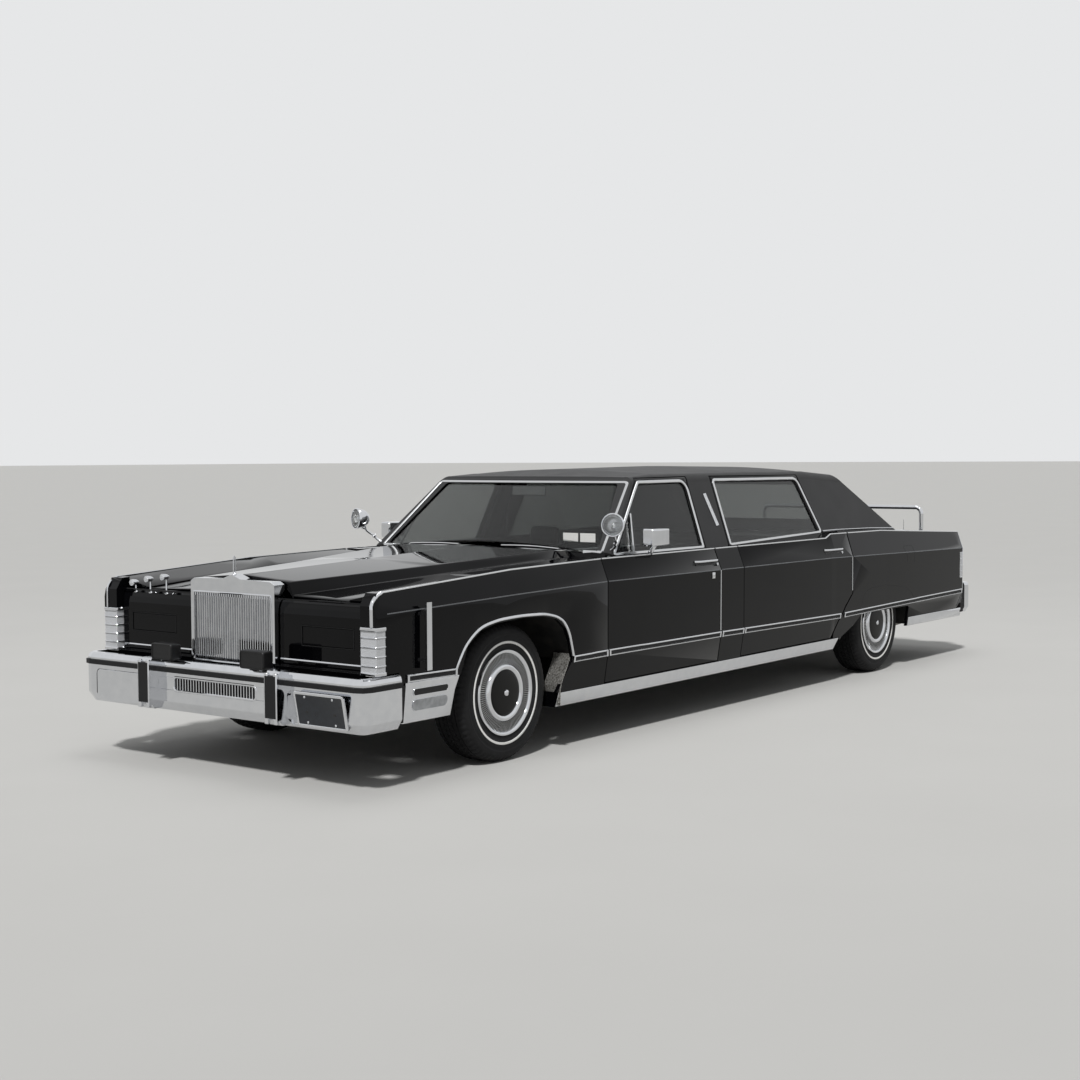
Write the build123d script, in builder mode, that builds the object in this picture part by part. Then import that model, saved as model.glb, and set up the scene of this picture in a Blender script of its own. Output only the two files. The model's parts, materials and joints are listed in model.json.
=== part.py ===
from build123d import *
import os

os.makedirs("parts", exist_ok=True)

# A four-door stretch limousine with blade fenders, an upright grille, hidden headlamps and a vinyl roof.
# Millimetres. +X is forward, +Y is the car's left, +Z is up.
# The origin is on the ground, under the middle of the car's length.

# Driving dimensions
WHEELBASE = 4300
FRONT_OVERHANG = 1190  # front axle to the faces of the bumper guards
REAR_OVERHANG = 1530  # rear axle to the rear bumper
LENGTH = FRONT_OVERHANG + WHEELBASE + REAR_OVERHANG
X_AXLE = LENGTH / 2 - FRONT_OVERHANG

TYRE_RADIUS = 355
WHEEL_CENTRE_Y = 816
BEAD_RADIUS = 203
COVER_RADIUS = 217
KINGPIN_Y = 716
HUB_Z = TYRE_RADIUS

BOTTOM_Z = 235  # underside of the sills
SILL_Z = 316  # top of the sills
TRIM_Z = 485  # the side strip's middle, where the side starts to tuck under
BELT_Z = 998  # flat top of the doors, foot of the side glass
GLASS_TOP_Z = 1398
ROOF_Z = 1490
FLOOR_Z = 300

DOOR_INNER_Y = 850
SKIN = 20  # depth that a sheet panel has here
SEAM = 6  # gap between two panels
FRAME_DEPTH = 25  # upper door frame
ROOF_DEPTH = 40
DOOR_REAR_TAPER = 12  # a door's inner rear edge is this much shorter, so that it swings clear

# Panel seams, as distances behind the front axle
NOSE = -1015
HOOD_FRONT = -926
COWL_SEAM = 800
HOOD_REAR = 860
FRONT_DOOR_END = 1997
REAR_DOOR_START = 2268
REAR_DOOR_END = 3758
DECK_SEAM = 4880
TAIL = 5660
SILL_FRONT = 380  # clear of the steered tyre


def x_at(behind):
    """X of a place that is so far behind the front axle."""
    return X_AXLE - behind


def export(part, name):
    part.label = name
    export_step(part, f"parts/{name}.step")


def export_pair(part, name):
    """Writes a left-hand part and its mirror image."""
    export(part, f"{name}_left")
    export(mirror(part, about=Plane.XZ), f"{name}_right")


# Small steps that act on the part being built


def side_cut(points, y=(0, 1100), mode=Mode.INTERSECT, top_corner=0):
    """Draws a side view through (behind, height) points and pushes it out over a range of Y."""
    with BuildSketch(Plane.XZ.offset(-y[1])) as view:
        with BuildLine():
            Polyline(*[(x_at(b), z) for b, z in points], close=True)
        make_face()
        if top_corner:
            fillet(view.vertices().sort_by(Axis.Y)[-2:], top_corner)
    extrude(view.sketch, amount=y[1] - y[0], mode=mode)


def plan_cut(points, z, mode=Mode.INTERSECT):
    """Draws a plan through (behind, Y) points and pushes it up over a range of Z."""
    with BuildSketch(Plane.XY.offset(z[0])) as view:
        with BuildLine():
            Polyline(*[(x_at(b), y) for b, y in points], close=True)
        make_face()
    extrude(view.sketch, amount=z[1] - z[0], mode=mode)


def block(behind, y, z, mode=Mode.ADD):
    """A box over ranges: behind the front axle, Y and Z."""
    middle = (x_at((behind[0] + behind[1]) / 2), (y[0] + y[1]) / 2, (z[0] + z[1]) / 2)
    with Locations(middle):
        Box(behind[1] - behind[0], y[1] - y[0], z[1] - z[0], mode=mode)


def bar(start, end, radius, mode=Mode.ADD):
    """A round bar between two places given as (behind, Y, height)."""
    a = Vector(x_at(start[0]), start[1], start[2])
    b = Vector(x_at(end[0]), end[1], end[2])
    with BuildSketch(Plane(a, z_dir=b - a)) as end_face:
        Circle(radius)
    extrude(end_face.sketch, amount=(b - a).length, mode=mode)


def cross_section(behind, points):
    """A closed outline across the car, through (Y, height) points."""
    with BuildSketch(Plane((x_at(behind), 0, 0), x_dir=(0, 1, 0), z_dir=(1, 0, 0))) as section:
        with BuildLine():
            Polyline(*points, close=True)
        make_face()
    return section.sketch


def across_cut(points, behind, mode, corner=30):
    """Draws an outline seen along the car through (Y, height) points and pushes it over a range."""
    with BuildSketch(Plane((x_at(behind[1]), 0, 0), x_dir=(0, 1, 0), z_dir=(1, 0, 0))) as view:
        with BuildLine():
            Polyline(*points, close=True)
        make_face()
        fillet(view.vertices(), corner)
    extrude(view.sketch, amount=behind[1] - behind[0], mode=mode)


# The body side, station by station
# behind, peak y, peak z, crease y, crease z, strip y, sill y, bottom y, inner edge y, inner edge z
STATIONS = [
    (NOSE, 945, 928, 972, 832, 970, 955, 940, 722, 880),
    (0, 955, 984, 998, 860, 998, 972, 950, 746, 948),
    (COWL_SEAM, 956, BELT_Z, 1004, 876, 1002, 976, 952, 771, 984),
    (3440, 954, BELT_Z, 1004, 866, 1002, 976, 952, 815, 990),
    (3510, 954, 1024, 1003, 864, 1001, 976, 952, 815, 1005),
    (4300, 948, 1018, 999, 852, 997, 972, 948, 812, 1000),
    (TAIL, 956, 957, 1000, 830, 998, 982, 966, 800, 932),
]


def outer_line(row):
    behind, peak_y, peak_z, crease_y, crease_z, strip_y, sill_y, bottom_y = row[:8]
    return [
        (bottom_y, BOTTOM_Z),
        (sill_y, SILL_Z),
        (strip_y, TRIM_Z),
        (crease_y, crease_z),
        (peak_y, peak_z),
    ]


def thick_section(row):
    """A door-deep wall with a flat inner face."""
    outer = outer_line(row)
    return cross_section(row[0], outer + [(DOOR_INNER_Y, outer[-1][1]), (DOOR_INNER_Y, BOTTOM_Z)])


def sheet_section(row):
    """A sheet that follows the side and turns in over the top."""
    outer = outer_line(row)
    edge_y, edge_z = row[8:]
    inner = [(edge_y, edge_z), (edge_y, edge_z - SKIN)]
    inner.append((outer[-1][0] - SKIN, outer[-1][1] - 1.5 * SKIN))
    inner += [(y - SKIN, z) for y, z in reversed(outer[:-1])]
    return cross_section(row[0], outer + inner)


print("sides")
with BuildPart() as thick_side:
    loft([thick_section(row) for row in STATIONS], ruled=True)

with BuildPart() as front_skin:
    loft([sheet_section(row) for row in STATIONS[:3]], ruled=True)

with BuildPart() as rear_skin:
    loft([sheet_section(row) for row in STATIONS[4:]], ruled=True)

# The cabin above the belt, as a closed form: the roof's sections, then the screens' slopes
# behind, centre height, shoulder height
ROOF_STATIONS = [
    (1000, 1425, 1418),
    (1400, 1434, 1424),
    (1700, 1476, 1441),
    (2800, ROOF_Z, 1444),
    (3600, 1480, 1440),
    (4085, 1428, 1408),
    (4700, 1378, 1364),
]
GLASS_FOOT_Y = 892  # at the belt
GLASS_LEAN = 0.40  # inward for each unit of height
SCREEN_FOOT = 915  # on the centre line at z 1000
SCREEN_RAKE = 1.15
SCREEN_BOW = 90  # how far its plan curves back over a metre
TAIL_FOOT = 4770
TAIL_RAKE = 1.70
TAIL_BOW = 110


def roof_section(row, inset):
    behind, centre_z, shoulder_z = row
    low_z = BELT_Z - 18
    side_z = shoulder_z - 45
    foot_y = GLASS_FOOT_Y + GLASS_LEAN * 18 - 1.077 * inset
    side_y = foot_y - GLASS_LEAN * (side_z - low_z)
    start_y = GLASS_FOOT_Y - GLASS_LEAN * (side_z - BELT_Z) - 74
    crown_z = shoulder_z + 6 - inset
    mid = ((side_y + start_y) / 2 + 15, (side_z + crown_z) / 2 + 12 - 0.1 * inset)
    with BuildSketch(Plane((x_at(behind), 0, 0), x_dir=(0, 1, 0), z_dir=(1, 0, 0))) as section:
        with BuildLine():
            Polyline((-side_y, side_z), (-foot_y, low_z), (foot_y, low_z), (side_y, side_z))
            ThreePointArc((side_y, side_z), mid, (start_y, crown_z))
            ThreePointArc((start_y, crown_z), (0, centre_z - inset), (-start_y, crown_z))
            ThreePointArc((-start_y, crown_z), (-mid[0], mid[1]), (-side_y, side_z))
        make_face()
    return section.sketch


def screen_plan(z, foot, rake, bow, far, inset):
    """The plan of a bowed and raked screen at height z, closed far beyond the other end."""
    sense = 1 if far > foot else -1
    start = foot + sense * (rake * (z - 1000) + inset * (1 + rake**2) ** 0.5)
    side = x_at(start + sense * bow)
    with BuildSketch(Plane.XY.offset(z)) as plan:
        with BuildLine():
            ThreePointArc((side, -1000), (x_at(start), 0), (side, 1000))
            Polyline((side, 1000), (x_at(far), 1000), (x_at(far), -1000), (side, -1000))
        make_face()
    return plan.sketch


def cabin_form(inset):
    with BuildPart() as form:
        loft([roof_section(row, inset) for row in ROOF_STATIONS], ruled=True)
        for screen in (
            (SCREEN_FOOT, SCREEN_RAKE, SCREEN_BOW, 7000),
            (TAIL_FOOT, TAIL_RAKE, TAIL_BOW, -1500),
        ):
            plans = [screen_plan(z, *screen, inset) for z in (900, 1600)]
            loft(plans, ruled=True, mode=Mode.INTERSECT)
    return form.part


print("cabin")
form_outer = cabin_form(0)
form_glass_outer = cabin_form(9)
form_glass_inner = cabin_form(15)
form_frame = cabin_form(FRAME_DEPTH)
form_roof = cabin_form(ROOF_DEPTH)

# Side windows and the door frames round them, as (behind, height) corners
FRONT_GLASS = [(1064, 1010), (1500, GLASS_TOP_Z - 6), (2006, GLASS_TOP_Z), (1964, 1010)]
REAR_GLASS = [(2308, 1010), (2352, GLASS_TOP_Z), (3412, GLASS_TOP_Z - 8), (3496, 1032)]
FRONT_FRAME = [(1008, 985), (1490, 1424), (2034, 1426), (1990, 985)]
REAR_FRAME = [(2276, 985), (2324, 1426), (3444, 1420), (3540, 985)]
WINDOW_CORNER = 42
FRAME_GAP = 16  # at the edge that swings past its pillar
FRAME_INNER_Y = 665  # how far in the top rail of a door frame reaches

# Front wheel arch, as (behind, height)
ARCH = [
    (-484, 200),
    (-462, 430),
    (-435, 491),
    (-375, 636),
    (-277, 701),
    (-156, 727),
    (52, 738),
    (224, 731),
    (335, 708),
    (413, 654),
    (452, 576),
    (476, 480),
    (366, 318),
    (362, 200),
]
CORNER_Z = 500  # below it the bright cornering panel takes the fender's place
BUMPER_Z = (292, 548)
BLADE_INNER_Y = 872
BLADE_DEPTH = 88  # how far the blade is solid behind its tip
LAMP_Z = (552, 772)

print("fenders")
with BuildPart() as blade:
    add(thick_side.part)
    side_cut(
        [
            (NOSE, 540),
            (NOSE, 872),
            (NOSE + 22, 906),
            (NOSE + 62, 960),
            (NOSE + BLADE_DEPTH, 960),
            (NOSE + BLADE_DEPTH, 540),
        ],
        (BLADE_INNER_Y, 1100),
    )

FENDER_EDGE = [
    (NOSE, 300),
    (NOSE, 872),
    (NOSE + 22, 906),
    (NOSE + 62, 1100),
    (COWL_SEAM - SEAM / 2, 1100),
    (COWL_SEAM - SEAM / 2, SILL_Z),
    (330, SILL_Z),
    (330, 200),
    (NOSE, 200),
]
with BuildPart() as fender:
    add(front_skin.part)
    side_cut(FENDER_EDGE, (600, 1100))
    block((NOSE - 5, NOSE + BLADE_DEPTH), (600, BLADE_INNER_Y), (200, 1100), Mode.SUBTRACT)
    add(blade.part)
    block((NOSE - 20, NOSE + 62), (BLADE_INNER_Y - 30, 1100), LAMP_Z, Mode.SUBTRACT)
    side_cut(ARCH, (600, 1100), Mode.SUBTRACT)
    block((NOSE - 5, -400), (600, 1100), (200, CORNER_Z), Mode.SUBTRACT)
    block((NOSE - 5, -864), (600, 1100), (200, BUMPER_Z[1] + SEAM), Mode.SUBTRACT)
export_pair(fender.part, "fender")

# The bright sheets low on the side: along the sills, behind the rear wheels, and ahead of the front wheels
with BuildPart() as sill_trim:
    add(Pos(0, 4, 0) * thick_side.part)
    side_cut([(SILL_FRONT, 238), (SILL_FRONT, 312), (3590, 312), (3550, 238)], (940, 1100))
    add(thick_side.part, mode=Mode.SUBTRACT)
with BuildPart() as tail_trim:
    add(Pos(0, 4, 0) * thick_side.part)
    side_cut([(4700, 302), (4700, 364), (5648, 364), (5648, 302)], (900, 1100))
    add(thick_side.part, mode=Mode.SUBTRACT)
with BuildPart() as lower_trims:
    add(front_skin.part)
    side_cut([(-818, 306), (-818, CORNER_Z), (-440, CORNER_Z), (-466, 430), (-484, 306)], (800, 1100))
    add(sill_trim.part)
    add(tail_trim.part)
    mirror(about=Plane.XZ)
export(lower_trims.part, "lower_side_trims")

with BuildPart() as corner_fillers:
    add(front_skin.part)
    side_cut([(-872, 312), (-872, 488), (-818, 488), (-818, 312)], (800, 1100))

with BuildPart() as front_lamps:
    add(thick_side.part)
    block((NOSE + 2, NOSE + 62), (BLADE_INNER_Y + 2, 1100), (LAMP_Z[0] + 2, LAMP_Z[1] - 2), Mode.INTERSECT)

# Doors: a deep lower panel and a thin frame round the glass
FRONT_DOOR_FOOT = [
    (COWL_SEAM, SILL_Z + SEAM),
    (COWL_SEAM, 1100),
    (FRONT_DOOR_END, 1100),
    (FRONT_DOOR_END, SILL_Z + SEAM),
]
REAR_DOOR_FOOT = [
    (REAR_DOOR_START, SILL_Z + SEAM),
    (REAR_DOOR_START, 1100),
    (REAR_DOOR_END, 1100),
    (REAR_DOOR_END, 612),
    (3650, 530),
    (3560, 440),
    (3470, SILL_Z + SEAM),
]


def door_frame(frame):
    with BuildPart() as upper:
        add(form_outer)
        add(form_frame, mode=Mode.SUBTRACT)
        side_cut(frame, (FRAME_INNER_Y, 1100))
    return upper.part


def door_panel(start, end, foot, upper, glass):
    edge = end - SEAM / 2
    with BuildPart() as door:
        add(thick_side.part)
        side_cut(foot, (700, 1100))
        plan = [
            (start + SEAM / 2, 1100),
            (start + SEAM / 2, 800),
            (edge - DOOR_REAR_TAPER - 4, 800),
            (edge, 1007),
            (edge, 1100),
        ]
        plan_cut(plan, (200, 1100))
        add(upper)
        side_cut(glass, (500, 1100), Mode.SUBTRACT, WINDOW_CORNER)
    return door.part


def side_glass(points):
    """A pane that fills its window, midway in the frame's depth."""
    with BuildPart() as pane:
        add(form_glass_outer)
        add(form_glass_inner, mode=Mode.SUBTRACT)
        side_cut(points, (500, 1100), top_corner=WINDOW_CORNER)
    return pane.part


print("doors")
frame_front = door_frame(FRONT_FRAME)
frame_rear = door_frame(REAR_FRAME)
door_front = door_panel(COWL_SEAM, FRONT_DOOR_END, FRONT_DOOR_FOOT, frame_front, FRONT_GLASS)
door_rear = door_panel(REAR_DOOR_START, REAR_DOOR_END, REAR_DOOR_FOOT, frame_rear, REAR_GLASS)
export_pair(door_front, "door_front")
export_pair(door_rear, "door_rear")
export_pair(side_glass(FRONT_GLASS), "door_glass_front")
export_pair(side_glass(REAR_GLASS), "door_glass_rear")

with BuildPart() as mirrors:
    block((1200, 1365), (960, 1036), (1048, 1146))
    fillet(mirrors.edges().filter_by(Axis.X), 12)
    chamfer(mirrors.faces().sort_by(Axis.X)[-1].edges(), 8)
    bar((1290, 985, 1052), (1298, 938, 985), 14)
    add(door_front, mode=Mode.SUBTRACT)
export_pair(mirrors.part, "door_mirror")

# Sills and centre posts
with BuildPart() as sills:
    add(thick_side.part)
    outline = [
        (SILL_FRONT, BOTTOM_Z),
        (SILL_FRONT, SILL_Z),
        (FRONT_DOOR_END + SEAM / 2, SILL_Z),
        (FRONT_DOOR_END + SEAM / 2, 1100),
        (REAR_DOOR_START - SEAM / 2, 1100),
        (REAR_DOOR_START - SEAM / 2, SILL_Z),
        (3600, SILL_Z),
        (3545, BOTTOM_Z),
    ]
    side_cut(outline, (700, 1100))
    mirror(about=Plane.XZ)
export(sills.part, "sills_and_centre_posts")

# Rear quarters
WHEEL_OPENING = [
    (3915, 452),
    (3800, 380),
    (3640, 316),
    (3540, 200),
    (4690, 200),
    (4690, 440),
    (4670, 452),
]
QUARTER_EDGE = [
    (REAR_DOOR_END + SEAM, 1100),
    (REAR_DOOR_END + SEAM, 606),
    (3658, 522),
    (3568, 432),
    (3482, SILL_Z + 2),
    (3606, SILL_Z + 2),
    (3606, 300),
    (TAIL, 300),
    (TAIL, 1100),
]

print("quarters")
with BuildPart() as tail_blade:
    add(thick_side.part)
    block((TAIL - 90, TAIL), (850, 1100), (560, 1100), Mode.INTERSECT)

with BuildPart() as quarter:
    add(rear_skin.part)
    side_cut(QUARTER_EDGE, (600, 1100))
    add(tail_blade.part)
    block((TAIL - 50, TAIL + 20), (868, 1100), (600, 800), Mode.SUBTRACT)
    side_cut(WHEEL_OPENING, (600, 1100), Mode.SUBTRACT)
export_pair(quarter.part, "quarter")

with BuildPart() as tail_lamps:
    add(thick_side.part)
    block((TAIL - 50, TAIL - 2), (870, 1100), (602, 798), Mode.INTERSECT)
with BuildPart() as corner_lamps:
    add(front_lamps.part)
    add(tail_lamps.part)
    mirror(about=Plane.XZ)
export(corner_lamps.part, "corner_lamps")

# Roof with its pillars
SCREEN_OPENING = [(-800, 1010), (-655, 1396), (655, 1396), (800, 1010)]
TAIL_OPENING = [(-560, 1075), (-500, 1345), (500, 1345), (560, 1075)]

print("roof")
with BuildPart() as roof:
    add(form_outer)
    add(form_roof, mode=Mode.SUBTRACT)
    for (b0, z0), (b1, z1), (b2, z2), (b3, z3) in (FRONT_FRAME, REAR_FRAME):
        low = 40
        front_slope, rear_slope = (b1 - b0) / (z1 - z0), (b2 - b3) / (z2 - z3)
        opening = [
            (b0 - SEAM - 2 - low * front_slope, z0 - low),
            (b1 - SEAM - 2 + SEAM * front_slope, z1 + SEAM),
            (b2 + FRAME_GAP + SEAM * rear_slope, z2 + SEAM),
            (b3 + FRAME_GAP - low * rear_slope, z3 - low),
        ]
        for y in ((FRAME_INNER_Y - 5, 1100), (-1100, 5 - FRAME_INNER_Y)):
            side_cut(opening, y, Mode.SUBTRACT)
    foot = [
        (600, 900),
        (600, BELT_Z + 6),
        (2000, BELT_Z + 6),
        (2000, BELT_Z),
        (2265, BELT_Z),
        (2265, BELT_Z + 6),
        (3430, BELT_Z + 6),
        (3490, 1032),
        (3762, 1032),
        (3762, 1002),
        (4300, 1000),
        (4700, 980),
        (5200, 955),
        (5200, 900),
    ]
    for y in ((846, 1100), (-1100, -846)):
        side_cut(foot, y, Mode.SUBTRACT)
    across_cut(SCREEN_OPENING, (400, 1560), Mode.SUBTRACT)
    across_cut(TAIL_OPENING, (3900, 5200), Mode.SUBTRACT)
    add(quarter.part, mode=Mode.SUBTRACT)
    add(mirror(quarter.part, about=Plane.XZ, mode=Mode.PRIVATE), mode=Mode.SUBTRACT)
export(roof.part, "roof")

with BuildPart() as windscreen:
    add(form_glass_outer)
    add(form_glass_inner, mode=Mode.SUBTRACT)
    across_cut(SCREEN_OPENING, (400, 1560), Mode.INTERSECT)

with BuildPart() as tail_window:
    add(form_glass_outer)
    add(form_glass_inner, mode=Mode.SUBTRACT)
    across_cut(TAIL_OPENING, (3900, 5200), Mode.INTERSECT)

with BuildPart() as partition_glass:
    add(form_roof)
    block((2162, 2168), (-848, 848), (BELT_Z - 18, 1460), Mode.INTERSECT)

with BuildPart() as fixed_glass:
    add(windscreen.part)
    add(tail_window.part)
    add(partition_glass.part)
export(fixed_glass.part, "fixed_glass")

# Hood and cowl, by sections across the car
# behind, centre z, ridge y, ridge z, foot y, foot z, edge y, edge z
HOOD = [
    (HOOD_FRONT, 978, 318, 953, 352, 890, 716, 880),
    (0, 1012, 455, 991, 492, 944, 740, 946),
    (HOOD_REAR, 1046, 595, 1034, 640, 988, 766, 982),
]
COWL = [
    (HOOD_REAR + SEAM, 1040, 595, 1028, 640, 986, 844, 984),
    (1010, 1030, 595, 1018, 640, 990, 844, 988),
]


def bulged_section(row, skin):
    behind, centre_z, ridge_y, ridge_z, foot_y, foot_z, edge_y, edge_z = row
    half = [(ridge_y, ridge_z), (foot_y, foot_z), (edge_y, edge_z)]
    under = [(edge_y, edge_z - skin), (foot_y, foot_z - skin), (ridge_y - skin, ridge_z - 1.5 * skin)]
    points = [(0, centre_z)] + half + under + [(0, centre_z - skin)]
    points += [(-y, z) for y, z in reversed(half + under)]
    return cross_section(behind, points)


print("hood")
with BuildPart() as hood:
    loft([bulged_section(row, SKIN) for row in HOOD], ruled=True)
export(hood.part, "hood")

with BuildPart() as cowl:
    loft([bulged_section(row, 12) for row in COWL], ruled=True)
    for y in ((776, 844), (-844, -776)):
        block((COWL_SEAM, HOOD_REAR + SEAM), y, (966, 984))
    add(form_outer, mode=Mode.SUBTRACT)
export(cowl.part, "cowl")

# Nose: the headlamp panels with their closed covers, and the grille between them
COVER_Z = (664, 751)
NOSE_PROFILE = [(-936, 556), (-974, 556), (-974, 806), (-970, 836), (-960, 858), (-944, 874), (-936, 876)]
with BuildPart() as nose:
    half = [(-938, 860), (-1046, 860), (-1078, 620), (-1086, 480)]
    plan_cut(half + [(b, -y) for b, y in reversed(half)], (500, 520), Mode.ADD)
    for y in ((304, 860), (-860, -304)):
        block((-1005, -936), y, (520, 556))
    for y in ((306, 868), (-868, -306)):
        side_cut(NOSE_PROFILE, y, Mode.ADD)
    for y in ((458, 790), (-790, -458)):
        block((-974, -966), (y[0] - 6, y[1] + 6), (COVER_Z[0] - 6, COVER_Z[1] + 6), Mode.SUBTRACT)
        block((-972, -966), y, COVER_Z)
export(nose.part, "nose_panels")

GRILLE_HALF = 300
GRILLE_SHELL = [
    (-GRILLE_HALF, 525),
    (-GRILLE_HALF, 942),
    (-GRILLE_HALF + 26, 956),
    (-60, 962),
    (0, 983),
    (60, 962),
    (GRILLE_HALF - 26, 956),
    (GRILLE_HALF, 942),
    (GRILLE_HALF, 525),
]
GRILLE_OPEN_Y = 274
GRILLE_OPEN_Z = (548, 886)
BARS = 32
BAR_WIDTH = 6
with BuildPart() as grille:
    extrude(cross_section(-936, GRILLE_SHELL), amount=69)
    block((-1010, -930), (-GRILLE_OPEN_Y, GRILLE_OPEN_Y), GRILLE_OPEN_Z, Mode.SUBTRACT)
    step = 2 * GRILLE_OPEN_Y / (BARS + 1)
    for i in range(BARS):
        y = -GRILLE_OPEN_Y + step * (i + 1)
        block((-1000, -975), (y - BAR_WIDTH / 2, y + BAR_WIDTH / 2), GRILLE_OPEN_Z)
export(grille.part, "grille")

# Bumpers: wrapped beams with a tucked foot and a rolled top. The front one has guards, a recess at each
# side and a slot with fins in the middle
BUMPER_PLAN = [(-872, 1000), (-1078, 1000), (-1116, 984), (-1130, 944), (-1130, 0)]
REAR_BUMPER_PLAN = [(5700, 1000), (5776, 1000), (5810, 986), (5822, 950), (5822, 0)]
BUMPER_DEPTH = 40
# height, how far the face stands back there
BUMPER_LEVELS = [(BUMPER_Z[0], 30), (340, 0), (522, 0), (540, 6), (BUMPER_Z[1], 18)]
REAR_BUMPER_LEVELS = [(325, 24), (365, 0), (535, 0), (552, 6), (560, 18)]
STRIP_Z = (488, 512)  # rubber strip along the face
PLATE_Y = 700  # middle of the number plate in the left recess
PLATE_HOLES = 178


def stood_back(line, distance, sense):
    """Moves a bumper's plan inward by a distance, corner by corner; sense is 1 at the front, -1 at the rear."""
    steps = [(Vector(*end) - Vector(*start)).normalized() for start, end in zip(line, line[1:])]
    normals = [Vector(-sense * step.Y, sense * step.X) for step in steps]
    normals = [normals[0]] + normals + [normals[-1]]
    moved = []
    for point, first, second in zip(line, normals, normals[1:]):
        shift = (first + second) * (distance / (1 + first.dot(second)))
        moved.append((point[0] + shift.X, point[1] + shift.Y))
    return moved


def plan_section(points, z):
    with BuildSketch(Plane.XY.offset(z)) as plan:
        with BuildLine():
            Polyline(*[(x_at(b), y) for b, y in points], close=True)
        make_face()
    return plan.sketch


def bumper_half(line, levels, sense):
    """Half a wrapped beam, from its end at the side to the centre line."""
    end = line[0][0]
    loft([plan_section(stood_back(line, inset, sense) + [(end, 0)], z) for z, inset in levels], ruled=True)
    hollow = stood_back(line, BUMPER_DEPTH, sense)
    open_end = end + sense * 20
    hollow[0] = (open_end, hollow[0][1])
    plan_cut(hollow + [(open_end, 0)], (levels[0][0] - 10, levels[-1][0] + 10), Mode.SUBTRACT)


GUARD_PROFILE = [(-1100, 300), (-1152, 300), (-1176, 330), (-1176, 538), (-1164, 556), (-1100, 556)]
with BuildPart() as front_bumper:
    bumper_half(BUMPER_PLAN, BUMPER_LEVELS, 1)
    mirror(about=Plane.XZ)
    across_cut([(-410, 400), (-410, 464), (410, 464), (410, 400)], (-1140, -1108), Mode.SUBTRACT, 22)
    for y0, y1 in ((508, 900), (-900, -508)):
        across_cut([(y0, 304), (y0, 466), (y1, 466), (y1, 304)], (-1140, -1104), Mode.SUBTRACT, 26)
    for y in (PLATE_Y - PLATE_HOLES / 2, PLATE_Y + PLATE_HOLES / 2):
        bar((-1140, y, 430), (-1060, y, 430), 3.5, Mode.SUBTRACT)
    for y in (-457, 457):
        side_cut(GUARD_PROFILE, (y - 42, y + 42), Mode.ADD)
    for i in range(40):
        y = -390 + 20 * i
        block((-1127, -1112), (y - 3, y + 3), (398, 466))

with BuildPart() as front_rubber:
    plan_cut(stood_back(BUMPER_PLAN, -10, 1) + [(-872, 0)], STRIP_Z, Mode.ADD)
    plan_cut([(-860, 1000)] + BUMPER_PLAN[1:] + [(-860, 0)], (STRIP_Z[0] - 1, STRIP_Z[1] + 1), Mode.SUBTRACT)
    mirror(about=Plane.XZ)
    for y in (-457, 457):
        block((-1190, -1176), (y - 36, y + 36), (334, 534))
    add(front_bumper.part, mode=Mode.SUBTRACT)
    add(corner_fillers.part)
    add(mirror(corner_fillers.part, about=Plane.XZ, mode=Mode.PRIVATE))
export(front_rubber.part, "front_bumper_rubber")

# Covered driving lamps on the bumper
DRIVING_LAMPS = [((224, 429), (546, 652)), ((-437, -236), (546, 640))]
with BuildPart() as nose_lamps:
    for (y0, y1), (z0, z1) in DRIVING_LAMPS:
        block((-1168, -1096), (y0, y1), (z0 + 14, z1))
        bar((-1101, (y0 + y1) / 2, BUMPER_Z[1]), (-1101, (y0 + y1) / 2, z0 + 16), 9)
    # three bullet marker lamps on stalks, on the right of the nose
    for y, z in ((-783, 909), (-667, 931), (-541, 946)):
        bar((-958, y, 850), (-958, y, z), 5)
        bar((-992, y, z), (-942, y, z), 17)
    add(nose.part, mode=Mode.SUBTRACT)

# Flag holders: a bright upright bar stood off each fender
with BuildPart() as flag_holders:
    block((-722, -686), (1012, 1026), (553, 874))
    for z in (600, 820):
        block((-712, -696), (965, 1012), (z - 8, z + 8))
    add(fender.part, mode=Mode.SUBTRACT)
    mirror(about=Plane.XZ)
export(flag_holders.part, "flag_holders")

# Spotlights at the foot of the windscreen pillars
with BuildPart() as spotlight:
    bar((905, 960, 1188), (985, 930, 1184), 63)
    bar((975, 932, 1180), (1024, 905, 1040), 11)
    bar((1024, 908, 1042), (1027, 868, 1030), 9)
    add(roof.part, mode=Mode.SUBTRACT)
with BuildPart() as spotlights:
    add(spotlight.solids().sort_by(SortBy.VOLUME)[-1])
    mirror(about=Plane.XZ)
    add(nose_lamps.part)
export(spotlights.part, "auxiliary_lamps")

# Rear deck, lid and rear panel
# behind, centre z, edge y, edge z
LID_FRONT = (DECK_SEAM + SEAM, 1018, 799, 976)
LID_REAR = (TAIL - 60, 972, 794, 934)
LID_BACK = TAIL - 20


def lid_section(row, skin):
    behind, centre_z, edge_y, edge_z = row
    points = [(-edge_y, edge_z), (-520, centre_z - 8), (0, centre_z), (520, centre_z - 8), (edge_y, edge_z)]
    return cross_section(behind, points + [(y, z - skin) for y, z in reversed(points)])


print("rear")
with BuildPart() as lid:
    loft([lid_section(LID_FRONT, SKIN), lid_section(LID_REAR, SKIN)], ruled=True)
    behind, centre_z, edge_y, edge_z = LID_REAR
    crown = [(-edge_y, edge_z), (-520, centre_z - 8), (0, centre_z), (520, centre_z - 8), (edge_y, edge_z)]
    back = cross_section(LID_BACK, [(-edge_y, 640)] + crown + [(edge_y, 640)])
    extrude(back, amount=LID_BACK - behind)
export(lid.part, "trunk_lid")

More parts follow.
